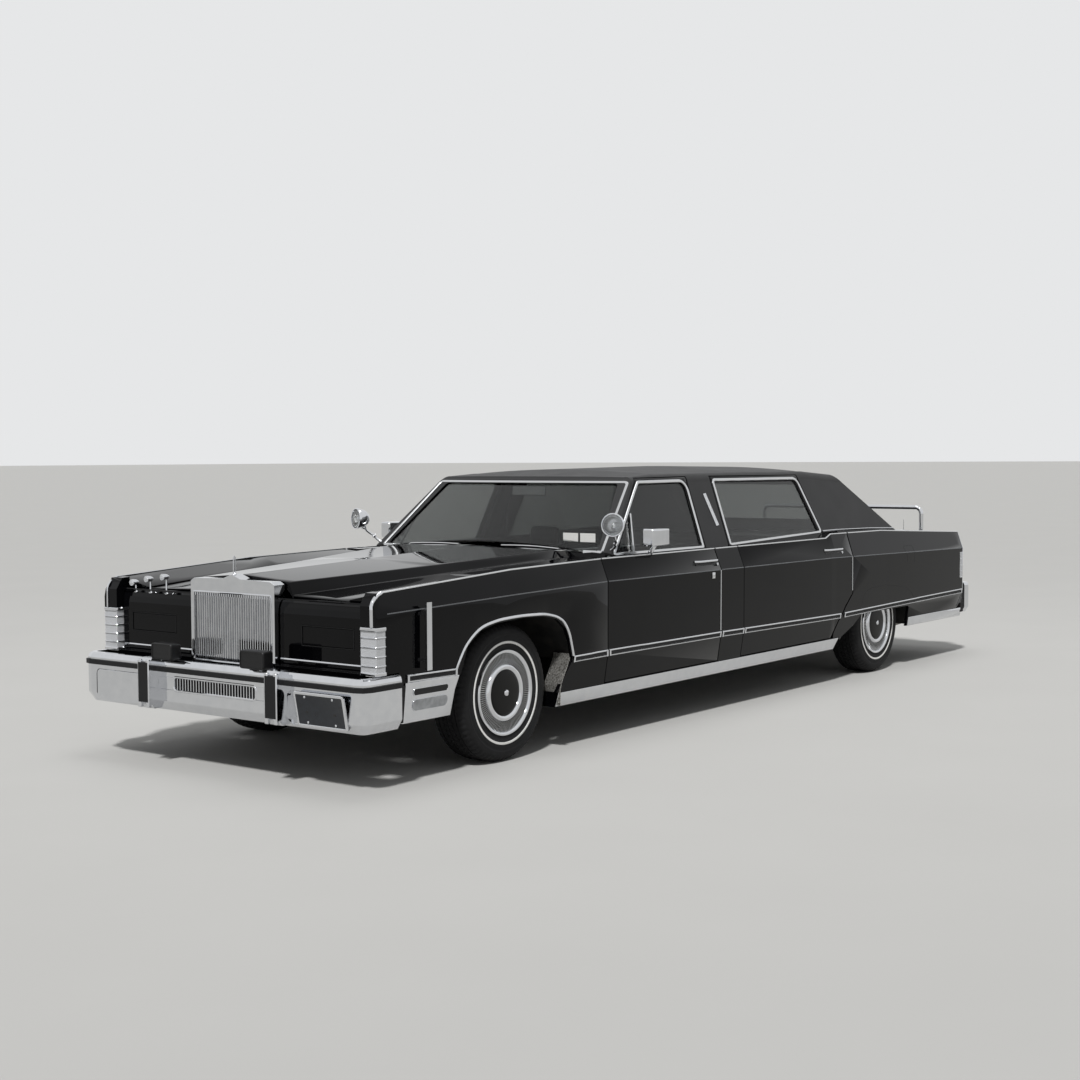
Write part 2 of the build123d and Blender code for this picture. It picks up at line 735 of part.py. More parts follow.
with BuildPart() as deck:
    ends = ((4600, 1022, 803, 990), (DECK_SEAM, 1018, 800, 976))
    loft([lid_section(row, 16) for row in ends], ruled=True)
    add(form_outer, mode=Mode.SUBTRACT)

# Floor
TUNNEL_Y = 130
TRUNK_FLOOR_Z = 520
TRUNK_HALF = 688
print("floor")
with BuildPart() as floor:
    block((720, 3886), (-DOOR_INNER_Y, DOOR_INNER_Y), (FLOOR_Z, FLOOR_Z + 12))
    block((734, 3886), (-TUNNEL_Y, TUNNEL_Y), (FLOOR_Z, 430))
    block((715, 3905), (-TUNNEL_Y + 10, TUNNEL_Y - 10), (FLOOR_Z - 5, 420), Mode.SUBTRACT)
export(floor.part, "floor_pan")

with BuildPart() as trunk_floor:
    block((3888, 3900), (-TRUNK_HALF, TRUNK_HALF), (FLOOR_Z, TRUNK_FLOOR_Z))
    block((3888, TAIL - 60), (-TRUNK_HALF, TRUNK_HALF), (TRUNK_FLOOR_Z, TRUNK_FLOOR_Z + 12))
    block((3880, 3905), (-TUNNEL_Y, TUNNEL_Y), (FLOOR_Z, 420), Mode.SUBTRACT)

# Chassis frame
RAILS = [
    ((-1090, 600), (320, 400), (300, 400)),
    ((500, 600), (320, 580), (210, FLOOR_Z)),
    ((500, 3800), (500, 580), (210, FLOOR_Z)),
    ((3720, 3990), (500, 580), (210, FLOOR_Z)),
    ((3910, 3990), (500, 580), (FLOOR_Z, TRUNK_FLOOR_Z)),
    ((3910, 5774), (500, 580), (440, TRUNK_FLOOR_Z)),
]
CROSSMEMBERS = [
    ((-40, 40), (250, 340)),
    ((1300, 1360), (240, 298)),
    ((2500, 2560), (240, 298)),
    ((5300, 5360), (440, 500)),
    ((-900, -840), (320, 400)),
]
with BuildPart() as chassis:
    for behind, y, z in RAILS:
        block(behind, y, z)
        block(behind, (-y[1], -y[0]), z)
    for behind, z in CROSSMEMBERS:
        half = 320 if behind[0] < 500 else 500
        block(behind, (-half, half), z)
    # the radiator support, which carries the nose
    for y in ((330, 390), (-390, -330)):
        block((-936, -906), y, (400, 800))
    block((-936, -906), (-390, 390), (760, 800))
export(chassis.part, "chassis_frame")

with BuildPart() as rear_panels:
    block((TAIL - 60, TAIL - 12), (-848, 848), (440, 632))
    for y in ((802, 848), (-848, -802)):
        block((TAIL - 60, TAIL - 12), y, (632, 900))
    add(chassis.part, mode=Mode.SUBTRACT)
    add(deck.part)
export(rear_panels.part, "rear_panels")

with BuildPart() as grab_rail:
    with BuildLine() as bent_bar:
        x = x_at(5550)
        FilletPolyline((x, -700, 940), (x, -700, 1145), (x, 700, 1145), (x, 700, 940), radius=48)
    with BuildSketch(Plane(bent_bar.line @ 0, z_dir=bent_bar.line % 0)) as bar_end:
        Circle(17)
    sweep(bar_end.sketch, path=bent_bar.line)
    for y in (-700, 700):
        bar((5550, y, 936), (5550, y, 965), 30)
    add(lid.part, mode=Mode.SUBTRACT)
export(grab_rail.part, "grab_rail")

with BuildPart() as rear_bumper:
    bumper_half(REAR_BUMPER_PLAN, REAR_BUMPER_LEVELS, -1)
    mirror(about=Plane.XZ)
    for y in (-420, 420):
        block((5800, 5830), (y - 40, y + 40), (345, 564))

with BuildPart() as bumpers:
    add(front_bumper.part)
    add(rear_bumper.part)
export(bumpers.part, "bumpers")

with BuildPart() as engine:
    block((-640, 160), (-260, 260), (340, 820))
    block((160, 700), (-110, 110), (330, 415))
    block((-880, -830), (-360, 360), (400, 800))
export(engine.part, "engine_and_radiator")

# Wheel housings: arched shells with an inner wall, against the outer panels
# behind, radius, inner y, outer y
HOUSINGS = [(10, 515, 500, 983), (WHEELBASE, 400, TRUNK_HALF, 972)]
HOUSING_FOOT_Z = HUB_Z + 120
with BuildPart() as housings:
    for behind, radius, y0, y1 in HOUSINGS:
        with BuildSketch(Plane.XZ.offset(-y1)) as arch:
            with Locations((x_at(behind), HUB_Z)):
                Circle(radius + 10)
                Circle(radius, mode=Mode.SUBTRACT)
        extrude(arch.sketch, amount=y1 - y0)
        with BuildSketch(Plane.XZ.offset(-y0 - 8)) as wall:
            with Locations((x_at(behind), HUB_Z)):
                Circle(radius + 5)
        extrude(wall.sketch, amount=8)
    block((-700, 5000), (0, 1100), (-300, HOUSING_FOOT_Z), Mode.SUBTRACT)
    add(front_skin.part, mode=Mode.SUBTRACT)
    add(rear_skin.part, mode=Mode.SUBTRACT)
    mirror(about=Plane.XZ)
    add(trunk_floor.part)
export(housings.part, "trunk_floor_and_housings")

# Wheels and tyres: round forms in flats, as (outward, radius) profiles along the axle
ROUND_SIDES = 52


def round_section(outward, radius):
    with BuildSketch(Plane.XZ.offset(-outward)) as section:
        RegularPolygon(radius, ROUND_SIDES)
    return section.sketch


def round_form(profile, mode=Mode.ADD):
    loft([round_section(outward, radius) for outward, radius in profile], ruled=True, mode=mode)


TYRE_OUTSIDE = [
    (-110, 285),
    (-103, 325),
    (-82, 349),
    (-66, TYRE_RADIUS),
    (66, TYRE_RADIUS),
    (82, 349),
    (103, 325),
    (110, 285),
]
TYRE_INSIDE = [(-110, 280), (-106, 246), (-84, BEAD_RADIUS), (84, BEAD_RADIUS), (106, 246), (110, 280)]
RIM_RADIUS = 190
COVER_FACE = 108  # outward from the middle of the wheel
CENTRE_RADIUS = 118
print("wheels")
with BuildPart() as tyre:
    round_form(TYRE_OUTSIDE)
    round_form(TYRE_INSIDE, Mode.SUBTRACT)
with BuildPart() as wheel:
    round_form([(-84, BEAD_RADIUS), (84, BEAD_RADIUS), (96, 206)])
    round_form([(-84, RIM_RADIUS), (96, RIM_RADIUS)], Mode.SUBTRACT)
    # the pressed cover: a flange, a sunk ring for the fins, a raised ring and a domed centre
    round_form([(96, COVER_RADIUS), (COVER_FACE, COVER_RADIUS)])
    round_form([(100, 200), (COVER_FACE, 200)], Mode.SUBTRACT)
    round_form([(99, 146), (112, 146)])
    round_form([(106, CENTRE_RADIUS), (112, CENTRE_RADIUS)], Mode.SUBTRACT)
    round_form([(105, 100), (114, 40)])
    # the disc that carries the rim, and its hub
    round_form([(60, RIM_RADIUS), (68, RIM_RADIUS)])
    with BuildSketch(Plane.XZ.offset(-96)):
        Circle(60)
    extrude(amount=70)
    with BuildSketch(Plane.XZ.offset(-90)):
        Circle(31)
    extrude(amount=80, mode=Mode.SUBTRACT)

for end, behind in (("front", 0), ("rear", WHEELBASE)):
    for name, part in (("tyre", tyre.part), ("wheel", wheel.part)):
        export_pair(Pos(x_at(behind), WHEEL_CENTRE_Y, HUB_Z) * part, f"{name}_{end}")

# Front suspension: arms on the frame, and a steered knuckle with its spindle at each side
with BuildPart() as knuckle:
    bar((0, KINGPIN_Y, HUB_Z - 95), (0, KINGPIN_Y, HUB_Z + 95), 18)
    bar((0, KINGPIN_Y, HUB_Z), (0, WHEEL_CENTRE_Y + 60, HUB_Z), 25)
    bar((0, 746, HUB_Z), (0, 762, HUB_Z), 140)
    bar((0, KINGPIN_Y, HUB_Z - 40), (150, KINGPIN_Y - 50, HUB_Z - 60), 14)
export_pair(knuckle.part, "knuckle")

ARM = [(-150, 400), (-110, 400), (20, 700), (20, 728), (-20, 728), (-25, 690)]
with BuildPart() as suspension:
    for low in (HUB_Z - 113, HUB_Z + 101):
        plan_cut(ARM, (low, low + 12), Mode.ADD)
        plan_cut([(-b, y) for b, y in ARM], (low, low + 12), Mode.ADD)
    bar((0, 410, HUB_Z - 60), (0, 410, HUB_Z + 160), 60)
    block((-160, 160), (320, 402), (400, 470))
    block((-160, 160), (330, 402), (240, 300))
    add(chassis.part, mode=Mode.SUBTRACT)
    mirror(about=Plane.XZ)
export(suspension.part, "front_suspension")

with BuildPart() as rear_axle:
    bar((WHEELBASE, -700, HUB_Z), (WHEELBASE, 700, HUB_Z), 40)
    for s in (-1, 1):
        bar((WHEELBASE, s * 700, HUB_Z), (WHEELBASE, s * 752, HUB_Z), 140)
        bar((WHEELBASE, s * 752, HUB_Z), (WHEELBASE, s * (WHEEL_CENTRE_Y + 60), HUB_Z), 25)
        bar((WHEELBASE, s * 450, HUB_Z + 20), (WHEELBASE, s * 450, TRUNK_FLOOR_Z), 45)
    bar((WHEELBASE - 85, 0, HUB_Z), (WHEELBASE + 85, 0, HUB_Z), 92)
    bar((702, 0, 365), (WHEELBASE - 80, 0, HUB_Z), 36)
export(rear_axle.part, "rear_axle")

with BuildPart() as exhaust:
    bar((200, 240, 208), (4400, 240, 208), 26)
    block((2700, 3300), (150, 330), (150, 235))
    bar((4380, 226, 207), (4660, 620, 230), 26)
    bar((4640, 600, 228), (5740, 640, 290), 26)
    bar((204, 240, 196), (120, 240, 360), 26)
    block((2510, 2550), (230, 250), (220, 240))
    add(engine.part, mode=Mode.SUBTRACT)
    block((4700, 5280), (-430, 430), (300, TRUNK_FLOOR_Z))
export(exhaust.part, "exhaust_and_tank")

# Cabin
print("cabin fittings")
with BuildPart() as dash:
    side_cut(
        [(1010, 968), (1230, 962), (1268, 912), (1230, 760), (1150, 690), (1010, 690)],
        (-820, 820),
        Mode.ADD,
    )

    for y in (-500, 500):
        block((732, 1016), (y - 20, y + 20), (800, 840))

with BuildPart() as steering_wheel:
    hub = (1500, 380, 905)
    with BuildSketch(Plane((x_at(hub[0]), hub[1], hub[2]), z_dir=(-0.9, 0, 0.43))):
        Circle(198)
        Circle(180, mode=Mode.SUBTRACT)
        Rectangle(20, 380)
        Circle(45)
    extrude(amount=18)
    bar(hub, (1215, 380, 772), 24)
    add(dash.part)
export(steering_wheel.part, "dashboard")

with BuildPart() as front_seat:
    side_cut([(1540, 330), (1540, 540), (2020, 510), (2020, 330)], (-720, 720), Mode.ADD)
    side_cut([(1960, 512), (2030, 960), (2110, 960), (2110, 330), (2020, 330), (2020, 512)], (-720, 720), Mode.ADD)
    for y in (-380, 380):
        block((2040, 2100), (y - 120, y + 120), (960, 1110))
    block((1540, 2110), (-700, 700), (FLOOR_Z + 12, 332))
    block((1500, 2120), (-140, 140), (FLOOR_Z, 440), Mode.SUBTRACT)

# The firewall with its shelf and two posts under the cowl
with BuildPart() as firewall:
    block((720, 732), (-842, 842), (FLOOR_Z + 12, 950))
    block((715, 740), (-TUNNEL_Y, TUNNEL_Y), (FLOOR_Z, 430), Mode.SUBTRACT)
    block((720, 900), (-842, 842), (938, 950))
    for y in ((660, 820), (-820, -660)):
        block((888, 900), y, (950, 980))
    add(cowl.part, mode=Mode.SUBTRACT)

# The partition behind the front seat, and the shelf and wall behind the rear one
with BuildPart() as bulkheads:
    block((2150, 2180), (-DOOR_INNER_Y, DOOR_INNER_Y), (FLOOR_Z + 12, BELT_Z - 18))
    block((2140, 2190), (-TUNNEL_Y, TUNNEL_Y), (FLOOR_Z, 430), Mode.SUBTRACT)
    block((3990, 4660), (-760, 760), (960, 972))
    block((3988, 4000), (-680, 680), (TRUNK_FLOOR_Z + 12, 960))
    add(firewall.part)
export(bulkheads.part, "cabin_bulkheads")

with BuildPart() as seats:
    side_cut([(3330, 330), (3330, 560), (3760, 530), (3880, 540), (3880, 330)], (-720, 720), Mode.ADD)
    side_cut([(3740, 534), (3860, 950), (3980, 950), (3980, 534)], (-680, 680), Mode.ADD)
    block((3330, 3880), (-700, 700), (FLOOR_Z + 12, 332))
    block((3300, 3888), (-140, 140), (FLOOR_Z, 440), Mode.SUBTRACT)
    add(front_seat.part)
export(seats.part, "seats")
print("nodes", len(os.listdir("parts")))
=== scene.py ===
# %% [markdown]
# # Dressing a stretch limousine
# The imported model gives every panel, wheel and lamp its exact place. This lesson adds what the eye looks
# for: paint, plated trim, rubber, glass, leather and the small hardware. Each step says what the real piece
# is, how it could be made, and why one way was chosen. Lengths are in millimetres until the last moment,
# when they become metres.

# %% Load the frame
import json
import math

import bmesh
import bpy
from mathutils import Matrix, Vector
from mathutils.bvhtree import BVHTree

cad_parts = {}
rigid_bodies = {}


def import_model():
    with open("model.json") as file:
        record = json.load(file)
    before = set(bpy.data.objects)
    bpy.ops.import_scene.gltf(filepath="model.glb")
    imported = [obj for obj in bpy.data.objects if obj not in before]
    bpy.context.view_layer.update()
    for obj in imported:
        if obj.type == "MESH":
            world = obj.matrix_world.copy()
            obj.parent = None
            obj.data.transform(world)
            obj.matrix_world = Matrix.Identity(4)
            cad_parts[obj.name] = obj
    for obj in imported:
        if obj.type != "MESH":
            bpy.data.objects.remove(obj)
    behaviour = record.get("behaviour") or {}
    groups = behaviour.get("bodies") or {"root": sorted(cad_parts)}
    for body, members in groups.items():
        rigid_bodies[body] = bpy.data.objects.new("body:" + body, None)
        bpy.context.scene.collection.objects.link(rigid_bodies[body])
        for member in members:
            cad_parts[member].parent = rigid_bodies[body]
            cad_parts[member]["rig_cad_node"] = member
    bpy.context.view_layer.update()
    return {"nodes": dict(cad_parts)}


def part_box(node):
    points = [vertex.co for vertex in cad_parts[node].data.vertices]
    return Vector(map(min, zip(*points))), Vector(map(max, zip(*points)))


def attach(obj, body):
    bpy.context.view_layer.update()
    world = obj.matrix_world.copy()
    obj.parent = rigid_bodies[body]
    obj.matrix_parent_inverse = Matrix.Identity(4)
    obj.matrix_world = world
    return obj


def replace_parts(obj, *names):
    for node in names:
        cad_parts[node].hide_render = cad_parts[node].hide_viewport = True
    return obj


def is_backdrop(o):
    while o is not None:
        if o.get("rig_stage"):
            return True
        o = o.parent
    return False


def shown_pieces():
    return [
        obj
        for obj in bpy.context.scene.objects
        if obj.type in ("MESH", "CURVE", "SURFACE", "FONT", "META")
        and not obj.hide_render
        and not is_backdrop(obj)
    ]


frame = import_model()
MM = 0.001
front_wheel_low, front_wheel_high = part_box("tyre_front_left")
AXLE_X = (front_wheel_low.x + front_wheel_high.x) / 2
HUB_Z = (front_wheel_low.z + front_wheel_high.z) / 2 / MM

# %% [markdown]
# ## Places
# A car is measured from its front axle. `at` takes how far a place is behind that axle, how far it is to the
# left, and its height, and gives the point in Blender's metres.


# %% Places from the front axle
def at(behind, y, z):
    return Vector((AXLE_X - behind * MM, y * MM, z * MM))


def behind_of(point):
    return (AXLE_X - point.x) / MM


# %% [markdown]
# ## Colours and nodes
# Colours are written as sRGB hex values, as a paint chart gives them, and one function turns them into the
# linear values that Blender wants. One small function adds a shader node with its settings and links.


# %% Colours and nodes
def linear(hex_value):
    channels = [int(hex_value[i : i + 2], 16) / 255 for i in (1, 3, 5)]
    return tuple(c / 12.92 if c <= 0.04045 else ((c + 0.055) / 1.055) ** 2.4 for c in channels) + (1.0,)


def add_node(tree, kind, values=None, links=None, to=None, **settings):
    """Adds a node, gives its sockets values, links them from and to other nodes, and sets its properties."""
    node = tree.nodes.new(kind)
    for name, value in settings.items():
        setattr(node, name, value)
    for name, value in (values or {}).items():
        node.inputs[name].default_value = value
    for name, source in (links or {}).items():
        tree.links.new(source, node.inputs[name])
    for name, target in (to or {}).items():
        tree.links.new(node.outputs[name], target)
    return node


def new_material(name, slot, colour, **sockets):
    """A Principled material with its plain values and object coordinates. The slot argument is not used."""
    material = bpy.data.materials.new(name)
    material.use_nodes = True
    tree = material.node_tree
    shader = tree.nodes["Principled BSDF"].inputs
    shader["Base Color"].default_value = linear(colour)
    for socket, value in sockets.items():
        shader[socket.replace("_", " ")].default_value = value
    return material, tree, shader, add_node(tree, "ShaderNodeTexCoord").outputs["Object"]


# %% [markdown]
# ## Paint
# The body is black enamel, sprayed and polished: nearly black, with a gloss that mirrors its surroundings,
# more so at a flat angle, which is why the hood shines and the side stays dark. A clear coat on a dark base
# gives that. Enamel of that age has a faint orange peel, 9 mm across, and road dust in clouds of about 260
# mm dulls it.


# %% Black enamel
enamel, tree, shader, place = new_material(
    "polished_black_enamel", "paint", "#040405", Specular_IOR_Level=0.0, Coat_Weight=1.0, Coat_IOR=1.26
)
peel = add_node(tree, "ShaderNodeTexNoise", {"Scale": 1 / (9 * MM), "Detail": 2.0}, {"Vector": place})
bump = {"Strength": 0.3, "Distance": 0.03 * MM}
add_node(tree, "ShaderNodeBump", bump, {"Height": peel.outputs["Fac"]}, {"Normal": shader["Coat Normal"]})
dust = add_node(tree, "ShaderNodeTexNoise", {"Scale": 1 / (260 * MM), "Detail": 5.0}, {"Vector": place})
film = add_node(
    tree, "ShaderNodeMapRange", {"From Min": 0.35, "From Max": 0.75}, {"Value": dust.outputs["Fac"]}
)
tones = {"Color1": linear("#030304"), "Color2": linear("#08080a")}
add_node(tree, "ShaderNodeMixRGB", tones, {"Fac": film.outputs["Result"]}, {"Color": shader["Base Color"]})
haze = {"To Min": 0.015, "To Max": 0.06}
add_node(
    tree, "ShaderNodeMapRange", haze, {"Value": dust.outputs["Fac"]}, {"Result": shader["Coat Roughness"]}
)

# the light line along the side is a painted highlight: a matt, slightly uneven grey stripe that stands in for
# the light caught by the crease
highlight_line_paint, tree, shader, place = new_material(
    "painted_grey_highlight_line", "paint", "#5b5d60", Roughness=0.5
)
stroke = add_node(tree, "ShaderNodeTexNoise", {"Scale": 1 / (60 * MM), "Detail": 3.0}, {"Vector": place})
tones = {"Color1": linear("#4c4e51"), "Color2": linear("#6a6c6f")}
add_node(tree, "ShaderNodeMixRGB", tones, {"Fac": stroke.outputs["Fac"]}, {"Color": shader["Base Color"]})

# %% [markdown]
# ## Vinyl
# The roof is covered with padded vinyl with an embossed leather-like grain a millimetre or two across:
# satin, not glossy. Here the grain is drawn at 3 mm, coarser than the real one, so that it shows. Sun and
# hands bleach it in patches of about 180 mm.

# %% Vinyl
vinyl, tree, shader, place = new_material(
    "embossed_black_vinyl", "vinyl", "#181819", Roughness=0.5, Specular_IOR_Level=0.35
)
grain = add_node(tree, "ShaderNodeTexVoronoi", {"Scale": 1 / (3 * MM)}, {"Vector": place})
bump = {"Strength": 0.7, "Distance": 0.25 * MM}
add_node(tree, "ShaderNodeBump", bump, {"Height": grain.outputs["Distance"]}, {"Normal": shader["Normal"]})
wear = add_node(tree, "ShaderNodeTexNoise", {"Scale": 1 / (180 * MM), "Detail": 4.0}, {"Vector": place})
tones = {"Color1": linear("#121213"), "Color2": linear("#202021")}
add_node(tree, "ShaderNodeMixRGB", tones, {"Fac": wear.outputs["Fac"]}, {"Color": shader["Base Color"]})
satin = {"To Min": 0.42, "To Max": 0.6}
add_node(tree, "ShaderNodeMapRange", satin, {"Value": wear.outputs["Fac"]}, {"Result": shader["Roughness"]})

# %% [markdown]
# ## Rubber and plastic
# Moulded bumper rubber is matt with fine pores. Tyre rubber is greyer and blooms in patches of about 30 mm.
# The white line is a different rubber, scuffed by kerbs. The lamp covers and the dashboard are moulded
# plastic with a spark-eroded texture of about 1 mm, which breaks up the gloss.

# %% Rubber and plastic
rubber, tree, shader, place = new_material(
    "moulded_black_rubber", "rubber", "#0d0d0e", Roughness=0.6, Specular_IOR_Level=0.3
)
pores = add_node(tree, "ShaderNodeTexNoise", {"Scale": 1 / (1.6 * MM), "Detail": 3.0}, {"Vector": place})
bump = {"Strength": 0.5, "Distance": 0.05 * MM}
add_node(tree, "ShaderNodeBump", bump, {"Height": pores.outputs["Fac"]}, {"Normal": shader["Normal"]})
matt = {"To Min": 0.5, "To Max": 0.75}
add_node(tree, "ShaderNodeMapRange", matt, {"Value": pores.outputs["Fac"]}, {"Result": shader["Roughness"]})

tyre_rubber, tree, shader, place = new_material(
    "cured_tyre_rubber", "tyre", "#121213", Roughness=0.75, Specular_IOR_Level=0.25
)
bloom = add_node(tree, "ShaderNodeTexNoise", {"Scale": 1 / (30 * MM), "Detail": 6.0}, {"Vector": place})
tones = {"Color1": linear("#0c0c0d"), "Color2": linear("#1d1d1e")}
add_node(tree, "ShaderNodeMixRGB", tones, {"Fac": bloom.outputs["Fac"]}, {"Color": shader["Base Color"]})
skin = add_node(tree, "ShaderNodeTexNoise", {"Scale": 1 / (1.2 * MM)}, {"Vector": place})
bump = {"Strength": 0.5, "Distance": 0.08 * MM}
add_node(tree, "ShaderNodeBump", bump, {"Height": skin.outputs["Fac"]}, {"Normal": shader["Normal"]})

white_rubber, tree, shader, place = new_material(
    "ground_white_sidewall_rubber", "tyre", "#e9e8e5", Roughness=0.6
)
scuff = add_node(tree, "ShaderNodeTexNoise", {"Scale": 1 / (14 * MM), "Detail": 5.0}, {"Vector": place})
tones = {"Color1": linear("#dbdad6"), "Color2": linear("#f6f5f3")}
add_node(tree, "ShaderNodeMixRGB", tones, {"Fac": scuff.outputs["Fac"]}, {"Color": shader["Base Color"]})

black_plastic, tree, shader, place = new_material(
    "spark_eroded_black_plastic", "cabin_trim", "#0a0a0b", Roughness=0.4, Specular_IOR_Level=0.35
)
erosion = add_node(tree, "ShaderNodeTexNoise", {"Scale": 1 / (1.0 * MM), "Detail": 2.0}, {"Vector": place})
bump = {"Strength": 0.6, "Distance": 0.04 * MM}
add_node(tree, "ShaderNodeBump", bump, {"Height": erosion.outputs["Fac"]}, {"Normal": shader["Normal"]})
gloss = {"To Min": 0.32, "To Max": 0.5}
add_node(
    tree, "ShaderNodeMapRange", gloss, {"Value": erosion.outputs["Fac"]}, {"Result": shader["Roughness"]}
)

# %% [markdown]
# ## Bright metals
# Bumpers, grille and trim are chromium plate on polished steel: a mirror with a slight blue-grey tint,
# softened by wiping marks about 45 mm across. Window frames are polished stainless steel, a little softer.
# The stone guards were bright too, until grit pitted them. The mirrors are silvered glass.

# %% Bright metals
chrome, tree, shader, place = new_material(
    "polished_chromium_plate", "chrome", "#d9dbde", Metallic=1.0, Roughness=0.06
)
wipe = add_node(tree, "ShaderNodeTexNoise", {"Scale": 1 / (45 * MM), "Detail": 6.0}, {"Vector": place})
marks = {"To Min": 0.02, "To Max": 0.12}
add_node(tree, "ShaderNodeMapRange", marks, {"Value": wipe.outputs["Fac"]}, {"Result": shader["Roughness"]})
tones = {"Color1": linear("#cfd1d5"), "Color2": linear("#e2e3e5")}
add_node(tree, "ShaderNodeMixRGB", tones, {"Fac": wipe.outputs["Fac"]}, {"Color": shader["Base Color"]})

stainless, tree, shader, place = new_material(
    "buffed_stainless_steel", "chrome", "#d3d4d5", Metallic=1.0, Roughness=0.16
)
buffing = add_node(tree, "ShaderNodeTexNoise", {"Scale": 1 / (20 * MM), "Detail": 5.0}, {"Vector": place})
marks = {"To Min": 0.1, "To Max": 0.24}
add_node(
    tree, "ShaderNodeMapRange", marks, {"Value": buffing.outputs["Fac"]}, {"Result": shader["Roughness"]}
)

blasted_steel, tree, shader, place = new_material(
    "grit_pitted_bright_steel", "chrome", "#a9a7a2", Metallic=0.85, Roughness=0.45
)
pits = add_node(
    tree, "ShaderNodeTexNoise", {"Scale": 1 / (9 * MM), "Detail": 7.0, "Roughness": 0.7}, {"Vector": place}
)
depth = add_node(
    tree, "ShaderNodeMapRange", {"From Min": 0.4, "From Max": 0.62}, {"Value": pits.outputs["Fac"]}
)
tones = {"Color1": linear("#6f6c67"), "Color2": linear("#c9c7c2")}
add_node(tree, "ShaderNodeMixRGB", tones, {"Fac": depth.outputs["Result"]}, {"Color": shader["Base Color"]})
bump = {"Strength": 0.6, "Distance": 0.6 * MM}
add_node(tree, "ShaderNodeBump", bump, {"Height": pits.outputs["Fac"]}, {"Normal": shader["Normal"]})

mirror_glass, tree, shader, place = new_material(
    "silvered_mirror_glass", "chrome", "#e4e7e8", Metallic=1.0, Roughness=0.02
)
breath = add_node(tree, "ShaderNodeTexNoise", {"Scale": 1 / (60 * MM), "Detail": 4.0}, {"Vector": place})
marks = {"To Min": 0.01, "To Max": 0.05}
add_node(
    tree, "ShaderNodeMapRange", marks, {"Value": breath.outputs["Fac"]}, {"Result": shader["Roughness"]}
)

# %% [markdown]
# ## Metals below the floor
# Frame and floor are brushed with satin chassis paint and caked with grime. Engine, axles and arms are
# sand-cast iron with a 3 mm sand texture. The exhaust and tank are aluminised sheet, browned by heat in
# patches.

# %% Metals below the floor
chassis_paint, tree, shader, place = new_material(
    "brushed_chassis_paint", "black_metal", "#141414", Roughness=0.5
)
grime = add_node(tree, "ShaderNodeTexNoise", {"Scale": 1 / (70 * MM), "Detail": 7.0}, {"Vector": place})
cake = add_node(
    tree, "ShaderNodeMapRange", {"From Min": 0.45, "From Max": 0.75}, {"Value": grime.outputs["Fac"]}
)
tones = {"Color1": linear("#0f0f0f"), "Color2": linear("#2b2824")}
add_node(tree, "ShaderNodeMixRGB", tones, {"Fac": cake.outputs["Result"]}, {"Color": shader["Base Color"]})
matt = {"To Min": 0.45, "To Max": 0.85}
add_node(tree, "ShaderNodeMapRange", matt, {"Value": grime.outputs["Fac"]}, {"Result": shader["Roughness"]})

cast_iron, tree, shader, place = new_material(
    "sand_cast_iron", "cast_metal", "#3a3835", Metallic=0.7, Roughness=0.65
)
sand = add_node(tree, "ShaderNodeTexNoise", {"Scale": 1 / (3 * MM), "Detail": 5.0}, {"Vector": place})
tones = {"Color1": linear("#282624"), "Color2": linear("#4a4540")}
add_node(tree, "ShaderNodeMixRGB", tones, {"Fac": sand.outputs["Fac"]}, {"Color": shader["Base Color"]})
bump = {"Strength": 0.6, "Distance": 0.4 * MM}
add_node(tree, "ShaderNodeBump", bump, {"Height": sand.outputs["Fac"]}, {"Normal": shader["Normal"]})

aluminised, tree, shader, place = new_material(
    "aluminised_sheet_steel", "cast_metal", "#8d8b86", Metallic=0.9, Roughness=0.5
)
heat = add_node(tree, "ShaderNodeTexNoise", {"Scale": 1 / (90 * MM), "Detail": 6.0}, {"Vector": place})
tones = {"Color1": linear("#6b6258"), "Color2": linear("#9a9893")}
add_node(tree, "ShaderNodeMixRGB", tones, {"Fac": heat.outputs["Fac"]}, {"Color": shader["Base Color"]})
dull = {"To Min": 0.38, "To Max": 0.65}
add_node(tree, "ShaderNodeMapRange", dull, {"Value": heat.outputs["Fac"]}, {"Result": shader["Roughness"]})

# %% [markdown]
# ## Glass and lenses
# Car glass of that time is float glass, tinted, with smears of about 120 mm. Its IOR is set under the usual
# 1.5, since the photographed panes mirror little and look dark. The fender lamps are clear plastic moulded
# with prisms over a silvered bowl; here the lens is pale grey, and the bright lines along its prisms are
# painted highlights in its colour. The spotlights have fluted glass. The tail lamps are red plastic with small
# prisms.

# %% Glass and lenses
glass, tree, shader, place = new_material(
    "tinted_float_glass", "clear_glass", "#a2a5a4", Roughness=0.0, IOR=1.32, Transmission_Weight=1.0
)
smear = add_node(tree, "ShaderNodeTexNoise", {"Scale": 1 / (120 * MM), "Detail": 4.0}, {"Vector": place})
marks = {"To Min": 0.0, "To Max": 0.03}
add_node(tree, "ShaderNodeMapRange", marks, {"Value": smear.outputs["Fac"]}, {"Result": shader["Roughness"]})

lens, tree, shader, place = new_material(
    "prism_moulded_clear_lens", "lens", "#d9dadc", Roughness=0.12, Transmission_Weight=0.3
)
prisms = add_node(tree, "ShaderNodeTexWave", {"Scale": 1 / (14 * MM), "Distortion": 0.0}, {"Vector": place})
bump = {"Strength": 0.7, "Distance": 0.8 * MM}
add_node(tree, "ShaderNodeBump", bump, {"Height": prisms.outputs["Fac"]}, {"Normal": shader["Normal"]})
# the lighter bands in the lens colour are painted highlight lines along the prisms
tones = {"Color1": linear("#c3c5c8"), "Color2": linear("#f2f3f5")}
add_node(tree, "ShaderNodeMixRGB", tones, {"Fac": prisms.outputs["Fac"]}, {"Color": shader["Base Color"]})

